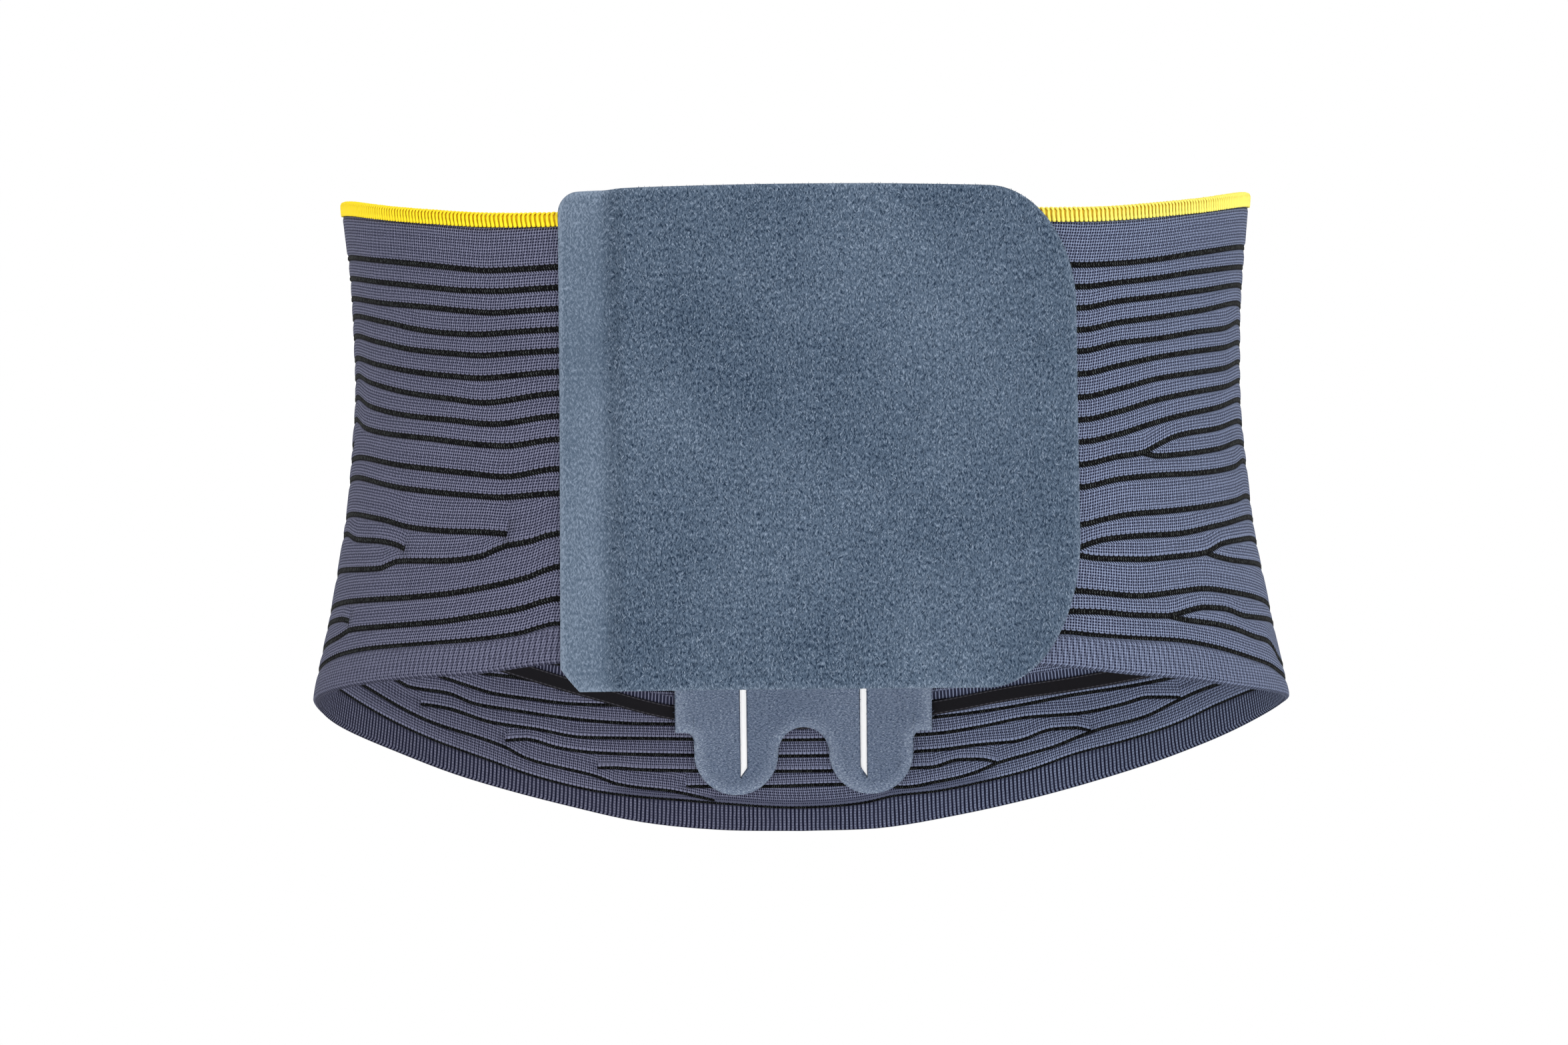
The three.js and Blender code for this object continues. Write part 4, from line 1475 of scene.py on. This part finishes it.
def pad_bottom(aside):
    """Height of the back piece's bottom edge at a way from its middle."""
    back = settings().back
    notch = back.lobe_spacing / 2 - back.lobe_radius
    from_lobe = aside - back.lobe_spacing / 2
    arch = -back.lobe_level + np.sqrt(np.maximum(notch ** 2 - aside ** 2, 0))
    lobe = -back.lobe_level - np.sqrt(np.maximum(back.lobe_radius ** 2 - from_lobe ** 2, 0))
    away = np.clip((from_lobe - back.lobe_radius) / back.shoulder_corner, 0, 1)
    shoulder = -back.shoulder - back.shoulder_corner * (1 - np.sqrt(1 - (1 - away) ** 2))
    return np.where(aside <= notch, arch, np.where(from_lobe <= back.lobe_radius, lobe, shoulder))


def pad_top(aside):
    """Height of its top edge, round at the corners."""
    back = settings().back
    corner = back.top_corner
    past = np.maximum(aside - back.half_width + corner, 0)
    return back.top - corner + np.sqrt(np.maximum(corner ** 2 - past ** 2, 0))


def pad_stops():
    """Sideways stops from edge to edge, close where the outline turns and at the slots' sides."""
    back = settings().back
    notch = back.lobe_spacing / 2 - back.lobe_radius
    quarter = np.linspace(0, np.pi / 2, 14)
    half_turn = np.linspace(0, np.pi, 34)
    slot = back.stay_width / 2 + back.stay_gap
    slot_sides = [back.stay_spacing / 2 + side * (slot + shift)
                  for side in (-1, 1) for shift in (-0.00002, 0.00012)]
    shoulder = np.linspace(back.lobe_spacing / 2 + back.lobe_radius + 0.00005, back.half_width, 10)
    lobe = back.lobe_spacing / 2 - back.lobe_radius * np.cos(half_turn)
    half = np.concatenate([notch * np.sin(quarter), lobe, slot_sides, shoulder])
    half = np.unique(np.round(half, 6))
    return np.concatenate([-half[:0:-1], half])


def pad_outline():
    """Points along the back piece's whole outline, for measuring how near a point lies to it."""
    back = settings().back
    aside = np.linspace(-back.half_width, back.half_width, 700)
    low = pad_bottom(np.abs(aside))
    high = pad_top(np.abs(aside))
    sides = np.linspace(-back.shoulder, back.top - back.top_corner, 300)
    corners = []
    for side in (-1, 1):
        corners.append(np.stack([side * back.half_width + 0 * sides, sides], axis=1))
        edge = back.lobe_spacing / 2 + back.lobe_radius
        step = np.linspace(-back.lobe_level, -back.shoulder - back.shoulder_corner, 20)
        corners.append(np.stack([side * edge + 0 * step, step], axis=1))
    rows = [np.stack([aside, low], axis=1), np.stack([aside, high], axis=1)]
    return np.concatenate(rows + corners)


def pad_rim(aside, height):
    """Way from points of the back piece to its outline."""
    outline = pad_outline()
    flat = np.stack([aside.ravel(), height.ravel()], axis=1)
    nearest = np.empty(len(flat))
    for start in range(0, len(flat), 4000):
        part = flat[start:start + 4000]
        away = part[:, None, :] - outline[None, :, :]
        nearest[start:start + 4000] = np.sqrt((away ** 2).sum(axis=2).min(axis=1))
    return nearest.reshape(aside.shape)


def in_slot(aside, height):
    """1 inside the slots that the stays show through."""
    back = settings().back
    gap = back.stay_gap
    half = back.stay_width / 2 + gap
    side = np.where(aside >= 0, 1, -1)
    across = aside - side * back.stay_spacing / 2
    slope = back.stay_point / back.stay_width
    tip = -back.stay_bottom - gap + slope * np.clip(half - across * side, 0, 2 * half)
    inside = (np.abs(across) <= half + 1e-5) & (height > tip) & (height < back.stay_top + gap)
    return inside.astype(float)


def pad_face(aside, height, rim):
    """How far the back piece's open face stands inside the wall's outside."""
    back = settings().back
    padded = 0.42 + 0.58 * np.sqrt(1 - (1 - np.clip(rim / 0.0042, 0, 1)) ** 2)
    crease = 0.0018
    creases = np.exp(-((np.abs(aside) - 0.0355) / crease) ** 2)
    creases = creases + 0.6 * np.exp(-((aside - 0.0145) / crease) ** 2)
    quilted = np.exp(-((rim - 0.0052) / 0.0011) ** 2)
    sway = 0.00012 * (np.sin(aside * 210 + height * 80) + np.sin(height * 160 - aside * 60))
    face = back.mouth + back.thickness * padded - 0.00050 * creases - 0.00034 * quilted + sway
    return face - in_slot(aside, height) * (face - back.mouth - 0.0004)


def back_piece():
    """The padded back piece: two lobes, a round notch and a slot for each stay."""
    back = settings().back
    dyes = settings().dyes
    aside = pad_stops()
    rows = 150
    low = pad_bottom(np.abs(aside))
    high = pad_top(np.abs(aside))
    levels = np.linspace(0, 1, rows)
    levels = levels * 0.6 + 0.4 * (1 - np.cos(np.pi * levels)) / 2
    heights = low[:, None] + (high - low)[:, None] * levels
    around = aside[:, None] + 0 * heights
    rim = pad_rim(around, heights)
    front = wall_across(back.off_centre + around, heights, -pad_face(around, heights, rim), False)
    behind = wall_across(back.off_centre + around, heights, -back.mouth, False)
    points = shell_rings(front, behind).reshape(-1, 3)
    faces = shell_faces(len(aside), rows)
    # Painted highlight: the velour turns lighter towards its rim
    rim_highlight_share = np.clip(1.25 - rim / 0.0045, 0, 1)
    readings = {"rim": shell_rings(rim_highlight_share, rim_highlight_share), "pressed": shell_rings(0 * rim, 0 * rim)}
    piece = mesh_object("back_pad_velour", points, faces, readings)
    finish = velour_finish("back_velour", dyes.pad_dark, dyes.pad_mid, dyes.pad_light, 2300.0, upright=False)
    dress(piece, finish, "back_velour", "back_pad")
    nap = back_nap()
    dress(nap, nap_finish("back_nap", dyes.pad_dark, dyes.pad_mid, dyes.pad_light), "back_velour")


def back_nap():
    """Short fibres over the open face of the back piece."""
    back = settings().back
    draw = np.random.default_rng(settings().seed + 5)
    amount = back.fibres
    aside = draw.uniform(-back.half_width, back.half_width, amount)
    height = draw.uniform(-back.lobe_level - back.lobe_radius, back.top, amount)
    inside = (height > pad_bottom(np.abs(aside))) & (height < pad_top(np.abs(aside)))
    kept = inside & (in_slot(aside, height) < 0.5) & (np.abs(np.abs(aside) - back.stay_spacing / 2) > 0.0018)
    aside = aside[kept]
    height = height[kept]
    rim = pad_rim(aside, height)
    face = pad_face(aside, height, rim)
    roots = wall_across(back.off_centre + aside, height, -face + 0.0001, False)
    normals = unit(wall_across(back.off_centre + aside, height, -face - MM, False) - roots)
    sizes = (back.fibre_length, back.fibre_width * (0.5 + 0.5 * np.clip(rim / 0.004, 0, 1)))
    return nap_mesh("back_nap", (roots, normals), rim, draw, sizes, (2, 14), 12.0, 0.0)


def stay_strip(side):
    """A stay: a thin strip with softened edges and a slanted point."""
    back = settings().back
    half = back.stay_width / 2
    soft = 0.00015
    slope = back.stay_point / back.stay_width
    front = back.mouth + back.thickness - back.stay_recess
    rear = front - back.stay_thickness
    section = ((-half + soft, front), (half - soft, front), (half, front - soft), (half, rear + soft),
               (half - soft, rear), (-half + soft, rear), (-half, rear + soft), (-half, front - soft))
    lines = []
    levels = np.linspace(0, 1, 70)
    for across, inward in section:
        low = -back.stay_bottom + slope * (half - across * side)
        heights = low + (back.stay_top - low) * levels
        x = back.off_centre + side * back.stay_spacing / 2 + across
        lines.append(wall_across(x, heights, -inward, False))
    points, faces = strip(lines)
    name = "left" if side < 0 else "right"
    piece = mesh_object(f"stay_strip_{name}", points, faces)
    dress(piece, stay_finish(), "stay_plastic", f"stay_{name}")


# Stage

def studio():
    """Pale floor far below the held-up belt, white surroundings, soft lamps and the camera."""
    scene = bpy.context.scene
    reach = 6.0
    depth = -0.75
    signs = ((-1, -1), (1, -1), (1, 1), (-1, 1))
    corners = np.array([(x * reach, y * reach, depth) for x, y in signs])
    floor = mesh_object("floor", corners, [np.array([[0, 1, 2, 3]])])
    floor.data.materials.append(floor_finish())

    world = bpy.data.worlds.new("white_room")
    world.use_nodes = True
    ground = world.node_tree.nodes["Background"]
    ground.inputs["Color"].default_value = (1, 1, 1, 1)
    ground.inputs["Strength"].default_value = ROOM_LIGHT
    scene.world = world
    scene.view_settings.view_transform = "Standard"

    for name, place, size, power in LAMPS:
        lamp = bpy.data.lights.new(name, "AREA")
        lamp.shape = "DISK"
        lamp.size = size
        lamp.energy = power
        holder = bpy.data.objects.new(name, lamp)
        aim = -np.array(place) / np.linalg.norm(place)
        holder.location = place
        holder.rotation_euler = look_along(aim).to_euler()
        scene.collection.objects.link(holder)

    spot, forward, right, up = camera_axes()
    lens = bpy.data.cameras.new("camera")
    lens.sensor_fit = "HORIZONTAL"
    lens.sensor_width = SENSOR_WIDTH
    lens.lens = FOCAL_PIXELS / IMAGE_WIDTH * SENSOR_WIDTH
    lens.clip_end = 100
    camera = bpy.data.objects.new("camera", lens)
    turned = Matrix([[right[i], up[i], -forward[i], spot[i]] for i in range(3)] + [[0, 0, 0, 1]])
    camera.matrix_world = turned
    scene.collection.objects.link(camera)
    scene.camera = camera


def look_along(direction):
    """Rotation that points a lamp along a direction."""
    from_lamp = -np.array(direction)
    aside = np.cross((0, 0, 1), from_lamp)
    aside = aside / np.linalg.norm(aside)
    above = np.cross(from_lamp, aside)
    return Matrix([[aside[i], above[i], from_lamp[i]] for i in range(3)])


ROOM_LIGHT = 1.0
LAMPS = (
    ("key", (1.6, -2.0, 1.3), 1.6, 16.0),
    ("fill", (-2.2, -1.8, 0.3), 2.0, 5.0),
    ("under", (0.3, -1.6, -0.9), 1.4, 26.0),
)


# Operators, panel and running order

class BELT_OT_stage(bpy.types.Operator):
    """Set up the floor, the lamps and the camera"""

    bl_idname = "belt.stage"
    bl_label = "Stage"

    def execute(self, context):
        studio()
        return {"FINISHED"}


class BELT_OT_knit(bpy.types.Operator):
    """Knit the wall and lay its elastic threads"""

    bl_idname = "belt.knit"
    bl_label = "Knitted wall"

    def execute(self, context):
        threads = elastic_threads()
        knit_wall(threads)
        elastic_lines(threads)
        return {"FINISHED"}


class BELT_OT_edging(bpy.types.Operator):
    """Overlock the wall's top edge"""

    bl_idname = "belt.edging"
    bl_label = "Overlocked edge"

    def execute(self, context):
        overlocked_edge()
        return {"FINISHED"}


class BELT_OT_closure(bpy.types.Operator):
    """Make the brushed outer panel of the front closure"""

    bl_idname = "belt.closure"
    bl_label = "Front closure"

    def execute(self, context):
        closure()
        return {"FINISHED"}


class BELT_OT_lap(bpy.types.Operator):
    """Make the plain panel under the closure"""

    bl_idname = "belt.lap"
    bl_label = "Inner panel"

    def execute(self, context):
        inner_panel()
        return {"FINISHED"}


class BELT_OT_back(bpy.types.Operator):
    """Make the padded back piece"""

    bl_idname = "belt.back"
    bl_label = "Back piece"

    def execute(self, context):
        back_piece()
        return {"FINISHED"}


class BELT_OT_stays(bpy.types.Operator):
    """Slide the two stays into the back piece"""

    bl_idname = "belt.stays"
    bl_label = "Stays"

    def execute(self, context):
        for side in (-1, 1):
            stay_strip(side)
        return {"FINISHED"}


class BELT_OT_tape(bpy.types.Operator):
    """Sew the woven tape to the inside"""

    bl_idname = "belt.tape"
    bl_label = "Woven tape"

    def execute(self, context):
        woven_tape()
        return {"FINISHED"}


STEPS = (BELT_OT_stage, BELT_OT_knit, BELT_OT_edging, BELT_OT_closure, BELT_OT_lap, BELT_OT_back,
         BELT_OT_stays, BELT_OT_tape)
SETTINGS = (WallSizes, PanelSizes, BackSizes, Dyes, BeltSettings)


class BELT_PT_steps(bpy.types.Panel):
    """Lists the belt's pieces"""

    bl_label = "Lumbar support belt"
    bl_space_type = "VIEW_3D"
    bl_region_type = "UI"
    bl_category = "Belt"

    def draw(self, context):
        for step in STEPS:
            self.layout.operator(step.bl_idname)


def register():
    for kind in (*SETTINGS, *STEPS, BELT_PT_steps):
        bpy.utils.register_class(kind)
    bpy.types.Scene.belt_settings = PointerProperty(type=BeltSettings)


def unregister():
    del bpy.types.Scene.belt_settings
    for kind in reversed((*SETTINGS, *STEPS, BELT_PT_steps)):
        bpy.utils.unregister_class(kind)


def main():
    register()
    bpy.ops.belt.stage()
    bpy.ops.belt.knit()
    bpy.ops.belt.edging()
    bpy.ops.belt.closure()
    bpy.ops.belt.lap()
    bpy.ops.belt.back()
    bpy.ops.belt.stays()
    bpy.ops.belt.tape()


if __name__ == "__main__":
    main()
